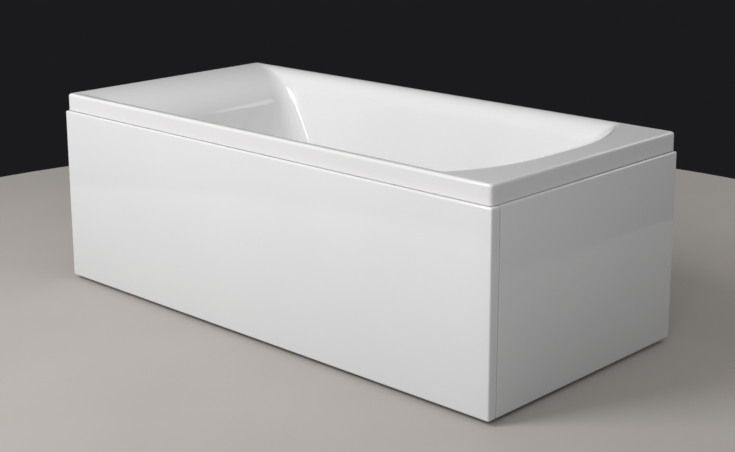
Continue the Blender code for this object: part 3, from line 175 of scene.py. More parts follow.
# Bath shell: one sheet of cast acrylic, vacuum formed over a mould, with a skirt, long edges that roll straight
# into the bowl, a flat deck with a crisp arc at the foot end, and a backrest that curves down from the rim. Its
# underside is backed with sprayed glass fibre and polyester resin.
SHELL_WALL = 0.006
SKIRT_DEPTH = 0.0525
EDGE_RADIUS = 0.008
CORNER_RADIUS = 0.012
CREST_LEDGE = 0.002
BOWL_DEPTH = 0.430
FOOT_DECK = 0.080
FOOT_BOW = 0.092
HEAD_DECK = 0.015
FLOOR_FALL = 0.01
WASTE_SETBACK = 0.095
FOOT_CORNER_TOP = 0.012
FOOT_CORNER_FLOOR = 0.130
HEAD_CORNER_TOP = 0.015
HEAD_CORNER_FLOOR = 0.200
BOW_POWER = 2.9
CORNER_POWER = 0.8

# Each wall of the bowl is (run, shoulder, roll, lip, crease, toe, rise): how far it comes in from rim to floor,
# how far its shoulder comes in, how deep the roll over it is, the drop at its lip, the crease under the roll, and
# the reach and rise of the toe that rounds it into the floor. The foot wall is steeper in its corners.
SIDE_WALL = (0.145, 0.055, 0.052, 0, 0.010, 0.058, 0.075)
HEAD_WALL = (0.425, 0.180, 0.100, 0.008, 0, 0.060, 0.090)
FOOT_WALL = (0.265, 0.143, 0.100, 0.036, 0, 0.056, 0.075)
FOOT_CORNER_WALL = (0.265, 0.060, 0.100, 0.045, 0, 0.056, 0.075)

END_STEPS = 28
CORNER_STEPS = 10
SIDE_STEPS = 40
EDGE_STEPS = 8
DECK_SHARES = (0.03, 0.2, 0.5, 0.8, 0.97)
SHOULDER_LEVELS = 34
WALL_LEVELS = 22
FLOOR_SHARES = (0.15, 0.5, 0.85)
WASTE_HOLE = 0.026
RECESS_RADIUS = 0.044
RECESS_DEPTH = 0.006
RECESS_STEP = 0.002
OVERFLOW_HOLE = 0.026
HOLE_SAW_LENGTH = 8 * SHELL_WALL
ROUND_STEPS = 96
SHELL_CREASE_DEG = 35

shell_low, shell_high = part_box("bath_shell")
middle_x = (shell_low.x + shell_high.x) / 2
middle_y = (shell_low.y + shell_high.y) / 2
half_length = (shell_high.x - shell_low.x) / 2
half_width = (shell_high.y - shell_low.y) / 2
rim_height = shell_high.z
crest_y = half_width - EDGE_RADIUS - CREST_LEDGE
waste_x = half_length - FOOT_DECK - FOOT_WALL[0] - WASTE_SETBACK
floor_z = rim_height - BOWL_DEPTH
ring_count = 2 * (2 * END_STEPS + 2 * CORNER_STEPS + SIDE_STEPS)


def floor_height(x):
    """Height of the bowl's floor, which falls towards the waste."""
    return floor_z + FLOOR_FALL * (waste_x - x)


def inset(depth, wall):
    """How far a wall of the bowl has come in at a depth below the deck."""
    run, shoulder, roll, lip, crease, toe, rise = wall
    lean = (run - shoulder - toe) / BOWL_DEPTH
    if depth < roll:
        bend = roll - 2 * lip
        t = (sqrt(lip * lip + bend * depth) - lip) / bend
        return 2 * t * (1 - t) * (shoulder - crease) + t * t * (shoulder + lean * roll)
    if depth > BOWL_DEPTH - rise:
        t = sqrt(max(BOWL_DEPTH - depth, 0) / rise)
        return run - 2 * t * (1 - t) * toe - t * t * (toe + lean * rise)
    return shoulder + lean * depth


def half_end(reach, bow, radius, half):
    """Half of one end of an outline, from its middle to the end of its corner, with x counted outwards."""
    straight = half - radius
    points = []
    for step in range(END_STEPS + 1):
        y = straight * step / END_STEPS
        points.append((reach - bow * (y / half) ** BOW_POWER, y))
    slope = -bow * BOW_POWER * (straight / half) ** (BOW_POWER - 1) / half
    start = points[-1]
    knee = start[0] + slope * radius
    for step in range(1, CORNER_STEPS + 1):
        t = step / CORNER_STEPS
        x = (1 - t) ** 2 * start[0] + 2 * t * (1 - t) * knee + t * t * (knee - radius)
        points.append((x, (1 - t) ** 2 * start[1] + (1 - (1 - t) ** 2) * half))
    return points


def outline(foot, head, half):
    """A closed outline, anticlockwise from the middle of the foot end. Each end is (reach, bow, radius)."""
    foot_half = half_end(*foot, half)
    head_half = [(-x, y) for x, y in half_end(*head, half)]
    start = foot_half[-1][0]
    end = head_half[-1][0]
    side = [(start + (end - start) * step / SIDE_STEPS, half) for step in range(1, SIDE_STEPS)]
    one_side = foot_half + side + head_half[::-1]
    return one_side + [(x, -y) for x, y in one_side[-2:0:-1]]


def rim_ring(inward, height):
    """One ring round the outer edge of the rim."""
    end = (half_length - inward, 0, CORNER_RADIUS - inward / 2)
    return [Vector((x, y, height)) for x, y in outline(end, end, half_width - inward)]


def bowl_ring(depth):
    """One level ring of the bowl, which tilts with the floor as it nears it."""
    share = depth / BOWL_DEPTH
    foot_inset = inset(depth, FOOT_WALL)
    foot_bow = FOOT_BOW * (1 - share) ** 2 - foot_inset + inset(depth, FOOT_CORNER_WALL)
    foot = (half_length - FOOT_DECK - foot_inset, foot_bow,
            FOOT_CORNER_TOP + (FOOT_CORNER_FLOOR - FOOT_CORNER_TOP) * share ** CORNER_POWER)
    head = (half_length - HEAD_DECK - inset(depth, HEAD_WALL), 0,
            HEAD_CORNER_TOP + (HEAD_CORNER_FLOOR - HEAD_CORNER_TOP) * share ** CORNER_POWER)
    flat = outline(foot, head, crest_y - inset(depth, SIDE_WALL))
    return [Vector((x, y, rim_height - share * (rim_height - floor_height(x)))) for x, y in flat]


def waste_ring(radius, drop):
    """One ring round the waste, a drop below the bowl's floor."""
    ring = []
    for index in range(ring_count):
        angle = 2 * pi * index / ring_count
        x = waste_x + radius * cos(angle)
        ring.append(Vector((x, radius * sin(angle), (floor_height(x) if drop == 0 else floor_z) - drop)))
    return ring


rings = [rim_ring(0, rim_height - SKIRT_DEPTH), rim_ring(0, rim_height - EDGE_RADIUS - CREST_LEDGE)]
for step in range(EDGE_STEPS + 1):
    angle = pi / 2 * step / EDGE_STEPS
    rings.append(rim_ring(EDGE_RADIUS * (1 - cos(angle)), rim_height - EDGE_RADIUS * (1 - sin(angle))))
crest_ring = bowl_ring(0)
edge_ring = rings[-1]
rings += [[near.lerp(far, share) for near, far in zip(edge_ring, crest_ring)] for share in DECK_SHARES]
crest_row = len(rings)
# The rings stand closer together where the walls bend, under the rim and down at the toe
shoulder_depth = HEAD_WALL[2]
rings += [bowl_ring(shoulder_depth * (step / SHOULDER_LEVELS) ** 2) for step in range(SHOULDER_LEVELS + 1)]
for step in range(1, WALL_LEVELS + 1):
    turn = pi / 2 * step / WALL_LEVELS
    rings.append(bowl_ring(shoulder_depth + (BOWL_DEPTH - shoulder_depth) * (sin(turn) + step / WALL_LEVELS) / 2))
recess_lip = waste_ring(RECESS_RADIUS + RECESS_STEP, 0)
floor_edge = rings[-1]
rings += [[near.lerp(far, share) for near, far in zip(floor_edge, recess_lip)] for share in FLOOR_SHARES]
rings += [recess_lip, waste_ring(RECESS_RADIUS, RECESS_DEPTH), waste_ring(WASTE_HOLE, RECESS_DEPTH)]

shell_form = bmesh.new()
rows = [[shell_form.verts.new(point) for point in ring] for ring in rings]
for lower, upper in zip(rows, rows[1:]):
    for index in range(ring_count):
        after = (index + 1) % ring_count
        shell_form.faces.new((lower[index], lower[after], upper[after], upper[index]))
for face in shell_form.faces:
    face.smooth = True
# The arc of the foot deck, the lip of the recess and its floor stay crisp
foot_span = END_STEPS + CORNER_STEPS
for index in list(range(foot_span)) + list(range(ring_count - foot_span, ring_count)):
    crisp = shell_form.edges.get((rows[crest_row][index], rows[crest_row][(index + 1) % ring_count]))
    crisp.smooth = False
for row in (-3, -2):
    for index in range(ring_count):
        shell_form.edges.get((rows[row][index], rows[row][(index + 1) % ring_count])).smooth = False
shell_mesh = bpy.data.meshes.new("bath_shell_moulding")
shell_form.to_mesh(shell_mesh)
shell_form.free()
shell_mesh.transform(Matrix.Translation((middle_x, middle_y, 0)))
shell = bpy.data.objects.new("bath_shell_moulding", shell_mesh)
bpy.context.scene.collection.objects.link(shell)


def deselect():
    """Leave edit mode and deselect everything, so that the next operator acts on its own piece alone."""
    if bpy.context.object and bpy.context.object.mode != 'OBJECT':
        bpy.ops.object.mode_set(mode='OBJECT')
    bpy.ops.object.select_all(action='DESELECT')


def only(piece):
    """Select one piece and make it the active one."""
    deselect()
    piece.select_set(True)
    bpy.context.view_layer.objects.active = piece


def finished(piece):
    """Apply every modifier of a piece, then its place, so that it sits at the origin."""
    only(piece)
    for step in list(piece.modifiers):
        bpy.ops.object.modifier_apply(modifier=step.name)
    bpy.ops.object.transform_apply(location=True, rotation=True, scale=True)


ACRYLIC_WHITE = "#EFEEEE"
WAVE_MM = 260
SPECK_MM = 2.2
cast_acrylic, tree, shader = new_finish("cast_acrylic_polished")
# Cast acrylic is clear-faced and polished by the mould: a deep wet gloss with a slow waviness, no grain
place = add_node(tree, 'ShaderNodeTexCoord').outputs["Object"]
wave = add_node(tree, 'ShaderNodeTexNoise', {"Scale": 1000 / WAVE_MM, "Detail": 1.0}, {"Vector": place})
speck = add_node(tree, 'ShaderNodeTexNoise', {"Scale": 1000 / SPECK_MM, "Detail": 3.0}, {"Vector": place})
gloss = add_node(tree, 'ShaderNodeMapRange', {"To Min": 0.05, "To Max": 0.09}, {"Value": speck.outputs["Fac"]})
ripple = add_node(tree, 'ShaderNodeBump', {"Strength": 0.12, "Distance": 0.004}, {"Height": wave.outputs["Fac"]})
tint = add_node(tree, 'ShaderNodeMix', {6: linear(ACRYLIC_WHITE), 7: linear("#EAE9E9")},
                {0: wave.outputs["Fac"]}, data_type='RGBA')
tree.links.new(tint.outputs[2], shader.inputs["Base Color"])
tree.links.new(gloss.outputs["Result"], shader.inputs["Roughness"])
tree.links.new(ripple.outputs["Normal"], shader.inputs["Normal"])
shader.inputs["IOR"].default_value = 1.49

FIBRE_MM = 3.0
glass_fibre, tree, shader = new_finish("sprayed_glass_fibre")
# Chopped strands wetted out with resin: a cream ground, paler threads that lie all ways, and a lumpy skin
place = add_node(tree, 'ShaderNodeTexCoord').outputs["Object"]
bend = add_node(tree, 'ShaderNodeTexNoise', {"Scale": 1000 / (FIBRE_MM * 9), "Detail": 4.0}, {"Vector": place})
strands = add_node(tree, 'ShaderNodeTexVoronoi', {"Scale": 1000 / (FIBRE_MM * 4)},
                   {"Vector": bend.outputs["Color"]}, feature='DISTANCE_TO_EDGE')
lumps = add_node(tree, 'ShaderNodeTexNoise', {"Scale": 1000 / (FIBRE_MM * 5), "Detail": 6.0}, {"Vector": place})
thread = add_node(tree, 'ShaderNodeMapRange', {"From Max": 0.2}, {"Value": strands.outputs["Distance"]})
ground = add_node(tree, 'ShaderNodeMix', {6: linear("#E6E1D2"), 7: linear("#CFC7B0")},
                  {0: lumps.outputs["Fac"]}, data_type='RGBA')
fibred = add_node(tree, 'ShaderNodeMix', {6: linear("#F0EDE2")}, {0: thread.outputs["Result"],
                                                                  7: ground.outputs[2]}, data_type='RGBA')
skin = add_node(tree, 'ShaderNodeBump', {"Strength": 0.6, "Distance": 0.0015}, {"Height": lumps.outputs["Fac"]})
tree.links.new(fibred.outputs[2], shader.inputs["Base Color"])
tree.links.new(skin.outputs["Normal"], shader.inputs["Normal"])
shader.inputs["Roughness"].default_value = 0.42

shell_mesh.materials.append(cast_acrylic)
shell_mesh.materials.append(glass_fibre)
shell_wall = shell.modifiers.new("wall", 'SOLIDIFY')
shell_wall.thickness = SHELL_WALL
shell_wall.offset = -1
shell_wall.use_even_offset = True
shell_wall.material_offset = 1
knob_joint = next(joint for joint in frame["joints"] if joint["name"] == "overflow_knob_turn")
overflow_place = Vector(knob_joint["pos_m"])
overflow_axis = Vector(knob_joint["axis"])
overflow_turn = (0, atan2(overflow_axis.x, overflow_axis.z), 0)
deselect()
bpy.ops.mesh.primitive_cylinder_add(vertices=ROUND_STEPS, radius=OVERFLOW_HOLE, depth=HOLE_SAW_LENGTH,
                                    location=overflow_place, rotation=overflow_turn)
hole_saw = bpy.context.object
hole = shell.modifiers.new("overflow_hole", 'BOOLEAN')
hole.object = hole_saw
hole.solver = 'EXACT'
finished(shell)
bpy.data.objects.remove(hole_saw)
bpy.ops.object.shade_smooth_by_angle(angle=radians(SHELL_CREASE_DEG), keep_sharp_edges=True)
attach(shell, "bath")
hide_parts("bath_shell")


# Base board: 16 mm chipboard laminated under the floor of the bowl, with its corners cut off. The cradle is
# screwed to it.
CHIP_MM = 6
MERGE = 0.00001
BROKEN_EDGE_DEG = 50
CREASE_DEG = 34

chipboard, tree, shader = new_finish("pressed_chipboard")
# Flakes of pressed wood in all shades of straw and brown, with a dull sanded face
place = add_node(tree, 'ShaderNodeTexCoord').outputs["Object"]
warp = add_node(tree, 'ShaderNodeTexNoise', {"Scale": 1000 / (CHIP_MM * 3), "Detail": 2.0}, {"Vector": place})
warped = add_node(tree, 'ShaderNodeMix', {0: 0.03}, {4: place, 5: warp.outputs["Color"]}, data_type='VECTOR')
chips = add_node(tree, 'ShaderNodeTexVoronoi', {"Scale": 1000 / CHIP_MM}, {"Vector": warped.outputs[1]})
shade = add_node(tree, 'ShaderNodeSeparateColor', links={0: chips.outputs["Color"]})
tone = add_node(tree, 'ShaderNodeValToRGB', links={0: shade.outputs[0]})
tone.color_ramp.elements[0].color = linear("#8F6B43")
tone.color_ramp.elements[1].color = linear("#D3B588")
pits = add_node(tree, 'ShaderNodeBump', {"Strength": 0.4, "Distance": 0.0004},
                {"Height": chips.outputs["Distance"]})
tree.links.new(tone.outputs["Color"], shader.inputs["Base Color"])
tree.links.new(pits.outputs["Normal"], shader.inputs["Normal"])
shader.inputs["Roughness"].default_value = 0.8


def dressed(name, finish, edge=0.0):
    """Give a carried-over piece its finish, with smooth rounds, crisp corners and, where asked, a broken edge."""
    piece = bpy.data.objects[name]
    piece.data.materials.clear()
    piece.data.materials.append(finish)
    piece.data.shade_smooth()
    weld = piece.modifiers.new("weld", 'WELD')
    weld.merge_threshold = MERGE
    if edge:
        bevel = piece.modifiers.new("broken_edge", 'BEVEL')
        bevel.width = edge
        bevel.segments = 2
        bevel.angle_limit = radians(BROKEN_EDGE_DEG)
    crisp = piece.modifiers.new("crisp", 'EDGE_SPLIT')
    crisp.split_angle = radians(CREASE_DEG)


dressed("base_board", chipboard)


# Rim battens: sawn softwood glued under the long edges and under the foot deck, where they stiffen the rim and
# take the screws of the panel clips.
BATTEN_EDGE = 0.0012
RING_MM = 7
FIBRE_LENGTH_MM = 60
FIBRE_WIDTH_MM = 0.9
GRAIN_STRETCH = 16
# How far the phase of the wave node turns over one unit of its scale
WAVE_RADIANS = 20


def sawn_softwood(name, turn):
    """Sawn spruce whose grain runs along the given turn of X."""
    # Pale straw wood with darker growth rings drawn out along the piece, and a dry fuzzy face from the saw
    made, tree, shader = new_finish(name)
    place = add_node(tree, 'ShaderNodeTexCoord').outputs["Object"]
    along = add_node(tree, 'ShaderNodeMapping', {"Rotation": turn, "Scale": (GRAIN_STRETCH, 1, 1)},
                     {"Vector": place}, vector_type='TEXTURE')
    drift = add_node(tree, 'ShaderNodeTexNoise', {"Scale": 14.0, "Detail": 2.0},
                     {"Vector": along.outputs["Vector"]})
    bent = add_node(tree, 'ShaderNodeMix', {0: 0.06}, {4: along.outputs["Vector"], 5: drift.outputs["Color"]},
                    data_type='VECTOR')
    rings = add_node(tree, 'ShaderNodeTexWave',
                     {"Scale": 2 * pi * 1000 / RING_MM / WAVE_RADIANS, "Distortion": 1.5},
                     {"Vector": bent.outputs[1]}, bands_direction='Y')
    strands = add_node(tree, 'ShaderNodeMapping',
                       {"Scale": (FIBRE_WIDTH_MM / FIBRE_LENGTH_MM * GRAIN_STRETCH, 1, 1)},
                       {"Vector": along.outputs["Vector"]})
    fibre = add_node(tree, 'ShaderNodeTexNoise', {"Scale": 1000 / FIBRE_WIDTH_MM, "Detail": 3.0},
                     {"Vector": strands.outputs["Vector"]})
    wood = add_node(tree, 'ShaderNodeMix', {6: linear("#E2C79A"), 7: linear("#BD935C")},
                    {0: rings.outputs["Fac"]}, data_type='RGBA')
    streaked = add_node(tree, 'ShaderNodeMix', {0: 0.25, 7: linear("#A27B4A")}, {6: wood.outputs[2]},
                        data_type='RGBA')
    tree.links.new(fibre.outputs["Fac"], streaked.inputs[0])
    fuzz = add_node(tree, 'ShaderNodeBump', {"Strength": 0.5, "Distance": 0.0003},
                    {"Height": fibre.outputs["Fac"]})
    tree.links.new(streaked.outputs[2], shader.inputs["Base Color"])
    tree.links.new(fuzz.outputs["Normal"], shader.inputs["Normal"])
    shader.inputs["Roughness"].default_value = 0.78
    return made


softwood_along = sawn_softwood("sawn_softwood_along", (0, 0, 0))
softwood_across = sawn_softwood("sawn_softwood_across", (0, 0, pi / 2))
softwood_upright = sawn_softwood("sawn_softwood_upright", (0, pi / 2, 0))
dressed("rim_batten_front", softwood_along, BATTEN_EDGE)
dressed("rim_batten_back", softwood_along, BATTEN_EDGE)
dressed("rim_batten_foot", softwood_across, BATTEN_EDGE)


# Cradle rails: hat sections folded from 2 mm galvanised strip, with a weld nut over each foot. Self-cutting screws
# through the brims hold them to the base board.
SPANGLE_MM = 9
SCREW_HEAD = 0.0045
SCREW_HEAD_HEIGHT = 0.0028
SCREW_EDGE = 0.0004
SCREW_FLANGE = 1.5 * SCREW_HEAD
SCREW_FLANGE_THICK = 0.0007
SCREW_FLANGE_CROWN = 0.0008
SCREW_STEPS = 24
SCREW_INSET = 0.008
BRIM_HEIGHT = 0.028
BRIM_SCREWS = (-0.20, -0.08, 0.08, 0.20)
POINT_SIZE = 0.001
SPIN_STEPS = 64
SPIN_MERGE = 0.000005
SPIN_EDGE_DEG = 28

galvanised, tree, shader = new_finish("hot_dip_galvanised_steel")
# Hot-dipped zinc freezes in angular spangles, each with its own grey and its own gloss
place = add_node(tree, 'ShaderNodeTexCoord').outputs["Object"]
spangle = add_node(tree, 'ShaderNodeTexVoronoi', {"Scale": 1000 / SPANGLE_MM}, {"Vector": place})
shade = add_node(tree, 'ShaderNodeSeparateColor', links={0: spangle.outputs["Color"]})
grey = add_node(tree, 'ShaderNodeMix', {6: linear("#AEB2B5"), 7: linear("#C9CBCC")}, {0: shade.outputs[0]},
                data_type='RGBA')
dull = add_node(tree, 'ShaderNodeMapRange', {"To Min": 0.34, "To Max": 0.52}, {"Value": shade.outputs[1]})
tree.links.new(grey.outputs[2], shader.inputs["Base Color"])
tree.links.new(dull.outputs["Result"], shader.inputs["Roughness"])
shader.inputs["Metallic"].default_value = 1.0

GRIT_MM = 0.8
zinc, tree, shader = new_finish("zinc_plated_steel")
# Bright zinc with a clear passivation: a cool satin metal with a faint yellow bloom in patches
place = add_node(tree, 'ShaderNodeTexCoord').outputs["Object"]
bloom = add_node(tree, 'ShaderNodeTexNoise', {"Scale": 40.0, "Detail": 2.0}, {"Vector": place})
grit = add_node(tree, 'ShaderNodeTexNoise', {"Scale": 1000 / GRIT_MM, "Detail": 3.0}, {"Vector": place})
plate = add_node(tree, 'ShaderNodeMix', {6: linear("#C6CACD"), 7: linear("#CBC8B8")}, {0: bloom.outputs["Fac"]},
                 data_type='RGBA')
satin = add_node(tree, 'ShaderNodeMapRange', {"To Min": 0.22, "To Max": 0.36}, {"Value": grit.outputs["Fac"]})
tree.links.new(plate.outputs[2], shader.inputs["Base Color"])
tree.links.new(satin.outputs["Result"], shader.inputs["Roughness"])
shader.inputs["Metallic"].default_value = 1.0


def spun(name, outline, steps=SPIN_STEPS, edge=0.0):
    """Draw an outline of (radius, height) points by extruding from its first one, and spin it round Z."""
    deselect()
    bpy.ops.mesh.primitive_plane_add(size=POINT_SIZE, location=(outline[0][0], 0, outline[0][1]))
    made = bpy.context.object
    made.name = name
    bpy.ops.object.transform_apply(location=True, rotation=True, scale=True)
    bpy.ops.object.mode_set(mode='EDIT')
    bpy.ops.mesh.select_all(action='SELECT')
    bpy.ops.mesh.merge(type='CENTER')
    for (radius, height), (next_radius, next_height) in zip(outline, outline[1:]):
        move = (next_radius - radius, 0, next_height - height)
        bpy.ops.mesh.extrude_region_move(TRANSFORM_OT_translate={"value": move})
    bpy.ops.mesh.select_all(action='SELECT')
    bpy.ops.mesh.spin(steps=steps, angle=2 * pi, center=(0, 0, 0), axis=(0, 0, 1))
    bpy.ops.mesh.select_all(action='SELECT')
    bpy.ops.mesh.remove_doubles(threshold=SPIN_MERGE)
    bpy.ops.mesh.normals_make_consistent(inside=False)
    bpy.ops.object.mode_set(mode='OBJECT')
    if edge:
        rounding = made.modifiers.new("rounded_edge", 'BEVEL')
        rounding.width = edge
        rounding.segments = 3
        rounding.angle_limit = radians(SPIN_EDGE_DEG)
    return made


def joined(name, pieces):
    """Finish several pieces and make them one."""
    for piece in pieces:
        finished(piece)
    deselect()
    for piece in pieces:
        piece.select_set(True)
    bpy.context.view_layer.objects.active = pieces[0]
    if len(pieces) > 1:
        bpy.ops.object.join()
    made = bpy.context.object
    made.name = name
    return made


def copied(piece, place, turn=(0, 0, 0)):
    """A copy of a finished piece, with its own mesh, at a place and turned."""
    made = piece.copy()
    made.data = piece.data.copy()
    bpy.context.scene.collection.objects.link(made)
    made.location = place
    made.rotation_euler = turn
    return made


def fitted(piece, finish, body, slot, *nodes, smooth_deg=CREASE_DEG):
    """Shade a finished piece, give it its finish, and fix it to its body in place of the nodes it stands for."""
    only(piece)
    piece.data.name = piece.name
    piece.data.materials.clear()
    piece.data.materials.append(finish)
    bpy.ops.object.shade_smooth_by_angle(angle=radians(smooth_deg))
    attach(piece, body)
    if nodes:
        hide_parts(*nodes)


dressed("cradle_rail_head", galvanised)
dressed("cradle_rail_foot", galvanised)

deselect()
bpy.ops.mesh.primitive_cylinder_add(vertices=6, radius=SCREW_HEAD, depth=SCREW_HEAD_HEIGHT,
                                    location=(0, 0, -SCREW_HEAD_HEIGHT / 2))
screw_head = bpy.context.object
screw_edge = screw_head.modifiers.new("rounded_edge", 'BEVEL')
screw_edge.width = SCREW_EDGE
screw_edge.segments = 2
screw_flange = spun("screw_flange", ((0, -SCREW_FLANGE_CROWN), (SCREW_FLANGE, -SCREW_FLANGE_THICK),
                                     (SCREW_FLANGE, 0), (0, 0)), SCREW_STEPS)
screw_head = joined("screw_head", [screw_head, screw_flange])
for rail in ("cradle_rail_head", "cradle_rail_foot"):
    rail_low, rail_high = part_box(rail)
    screws = []
    for y in BRIM_SCREWS:
        for x in (rail_low.x + SCREW_INSET, rail_high.x - SCREW_INSET):
            screws.append(copied(screw_head, (x, middle_y + y, rail_low.z + BRIM_HEIGHT)))
    fitted(joined(rail + "_screws", screws), zinc, "bath", "zinc_steel")
bpy.data.objects.remove(screw_head)


# Levelling feet: M10 rolled stems that stand in ribbed nylon pads, each with a hexagon lock nut under its rail.
# The bath is levelled by turning the stems in the weld nuts.
THREAD_PITCH = 0.0015
THREAD_DEPTH = 0.0009
THREAD_STEPS = 14
THREAD_SPARE_TURNS = 3
THREAD_CREASE_DEG = 25
STEM_RADIUS = 0.005
PAD_RADIUS = 0.025
PAD_CHAMFER = 0.001
PAD_DISC = 0.004
PAD_RIM = 0.006
PAD_HEIGHT = 0.016
PAD_NECK = 0.011
PAD_TAPER = 0.002
PAD_BORE = 0.0053
PAD_FLOOR = 0.004
PAD_STEPS = 48
PAD_EDGE = 0.0005
PAD_RIBS = 10
RIB_WIDTH = 0.0022
RIB_ROOT = 0.004
RIB_LOW = 0.002
RIB_SETBACK = 0.0008
NUT_FLAT = 0.0085
NUT_HEIGHT = 0.008
NUT_BORE = 0.0054
NUT_FACE = 0.96 * NUT_FLAT
NUT_CONE = 1.17 * NUT_FLAT
NUT_CHAMFER = 0.0012
BORE_STEPS = 32
FOOT_TURN = 0.4

nylon, tree, shader = new_finish("moulded_black_nylon")
# Moulded nylon: near black, half dull, with the fine spark-eroded texture of its mould
place = add_node(tree, 'ShaderNodeTexCoord').outputs["Object"]
spark = add_node(tree, 'ShaderNodeTexNoise', {"Scale": 1000 / GRIT_MM, "Detail": 4.0}, {"Vector": place})
dusty = add_node(tree, 'ShaderNodeMix', {6: linear("#1C1C1D"), 7: linear("#2A2A2B")}, {0: spark.outputs["Fac"]},
                 data_type='RGBA')
eroded = add_node(tree, 'ShaderNodeBump', {"Strength": 0.4, "Distance": 0.0002},
                  {"Height": spark.outputs["Fac"]})
tree.links.new(dusty.outputs[2], shader.inputs["Base Color"])
tree.links.new(eroded.outputs["Normal"], shader.inputs["Normal"])
shader.inputs["Roughness"].default_value = 0.48
shader.inputs["IOR"].default_value = 1.53


def block(name, low, high):
    """Start a piece as a block between two corners."""
    deselect()
    low = Vector(low)
    high = Vector(high)
    bpy.ops.mesh.primitive_cube_add(size=1, location=(low + high) / 2, scale=high - low)
    made = bpy.context.object
    made.name = name
    bpy.ops.object.transform_apply(location=True, rotation=True, scale=True)
    return made


stem_low, stem_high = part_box("foot_stem_1")
stem_length = stem_high.z - stem_low.z
deselect()
bpy.ops.mesh.primitive_plane_add(size=POINT_SIZE, location=(STEM_RADIUS - THREAD_DEPTH, 0, 0))
thread = bpy.context.object
bpy.ops.object.transform_apply(location=True, rotation=True, scale=True)
bpy.ops.object.mode_set(mode='EDIT')
bpy.ops.mesh.select_all(action='SELECT')
bpy.ops.mesh.merge(type='CENTER')
for move in ((THREAD_DEPTH, 0, THREAD_PITCH / 2), (-THREAD_DEPTH, 0, THREAD_PITCH / 2)):
    bpy.ops.mesh.extrude_region_move(TRANSFORM_OT_translate={"value": move})
bpy.ops.object.mode_set(mode='OBJECT')
winding = thread.modifiers.new("winding", 'SCREW')
winding.screw_offset = THREAD_PITCH
winding.iterations = int(stem_length / THREAD_PITCH) + THREAD_SPARE_TURNS
winding.steps = THREAD_STEPS
winding.render_steps = THREAD_STEPS
winding.use_merge_vertices = True
winding.merge_threshold = MERGE
thread.location = (0, 0, -2 * THREAD_PITCH)
finished(thread)
bpy.ops.object.mode_set(mode='EDIT')
bpy.ops.mesh.select_all(action='SELECT')
bpy.ops.mesh.remove_doubles(threshold=MERGE)
bpy.ops.mesh.select_all(action='SELECT')
bpy.ops.mesh.bisect(plane_co=(0, 0, 0), plane_no=(0, 0, 1), use_fill=True, clear_inner=True)
bpy.ops.mesh.select_all(action='SELECT')
bpy.ops.mesh.bisect(plane_co=(0, 0, stem_length), plane_no=(0, 0, 1), use_fill=True, clear_outer=True)
bpy.ops.mesh.select_all(action='SELECT')
bpy.ops.mesh.normals_make_consistent(inside=False)
bpy.ops.object.mode_set(mode='OBJECT')

pad_parts = [spun("foot_pad", (
    (0, 0), (PAD_RADIUS - PAD_CHAMFER, 0), (PAD_RADIUS, PAD_CHAMFER), (PAD_RADIUS, PAD_DISC - PAD_CHAMFER),
    (PAD_RADIUS - PAD_CHAMFER, PAD_DISC), (PAD_NECK, PAD_RIM), (PAD_NECK - PAD_TAPER, PAD_HEIGHT),
    (PAD_BORE, PAD_HEIGHT), (PAD_BORE, PAD_FLOOR), (0, PAD_FLOOR)), PAD_STEPS, PAD_EDGE)]
for index in range(PAD_RIBS):
    rib = block("pad_rib", (PAD_NECK - RIB_ROOT, -RIB_WIDTH / 2, RIB_LOW),
                (PAD_RADIUS - RIB_SETBACK, RIB_WIDTH / 2, PAD_HEIGHT))
    bpy.ops.object.mode_set(mode='EDIT')
    rib_form = bmesh.from_edit_mesh(rib.data)
    for point in rib_form.verts:
        point.select = point.co.x > PAD_NECK and point.co.z > PAD_FLOOR
    rib_form.select_flush_mode()
    bmesh.update_edit_mesh(rib.data)
    bpy.ops.transform.translate(value=(0, 0, PAD_RIM - PAD_HEIGHT))
    bpy.ops.object.mode_set(mode='OBJECT')
    rib.rotation_euler = (0, 0, 2 * pi * index / PAD_RIBS)
    pad_parts.append(rib)
foot_pad = joined("foot_pad", pad_parts)

deselect()
bpy.ops.mesh.primitive_cylinder_add(vertices=6, radius=NUT_FLAT / cos(pi / 6), depth=NUT_HEIGHT,
                                    rotation=(0, 0, pi / 6), location=(0, 0, -NUT_HEIGHT / 2))
lock_nut = bpy.context.object
chamfer_cone = spun("chamfer_cone", ((0, -NUT_HEIGHT), (NUT_FACE, -NUT_HEIGHT),
                                     (NUT_CONE, NUT_CHAMFER - NUT_HEIGHT), (NUT_CONE, -NUT_CHAMFER),
                                     (NUT_FACE, 0), (0, 0)))
nut_bore = spun("nut_bore", ((0, -2 * NUT_HEIGHT), (NUT_BORE, -2 * NUT_HEIGHT), (NUT_BORE, NUT_HEIGHT),
                             (0, NUT_HEIGHT)), BORE_STEPS)
for tool, operation in ((chamfer_cone, 'INTERSECT'), (nut_bore, 'DIFFERENCE')):
    cut = lock_nut.modifiers.new("cut", 'BOOLEAN')
    cut.object = tool
    cut.operation = operation
    cut.solver = 'EXACT'
finished(lock_nut)
bpy.data.objects.remove(chamfer_cone)
bpy.data.objects.remove(nut_bore)

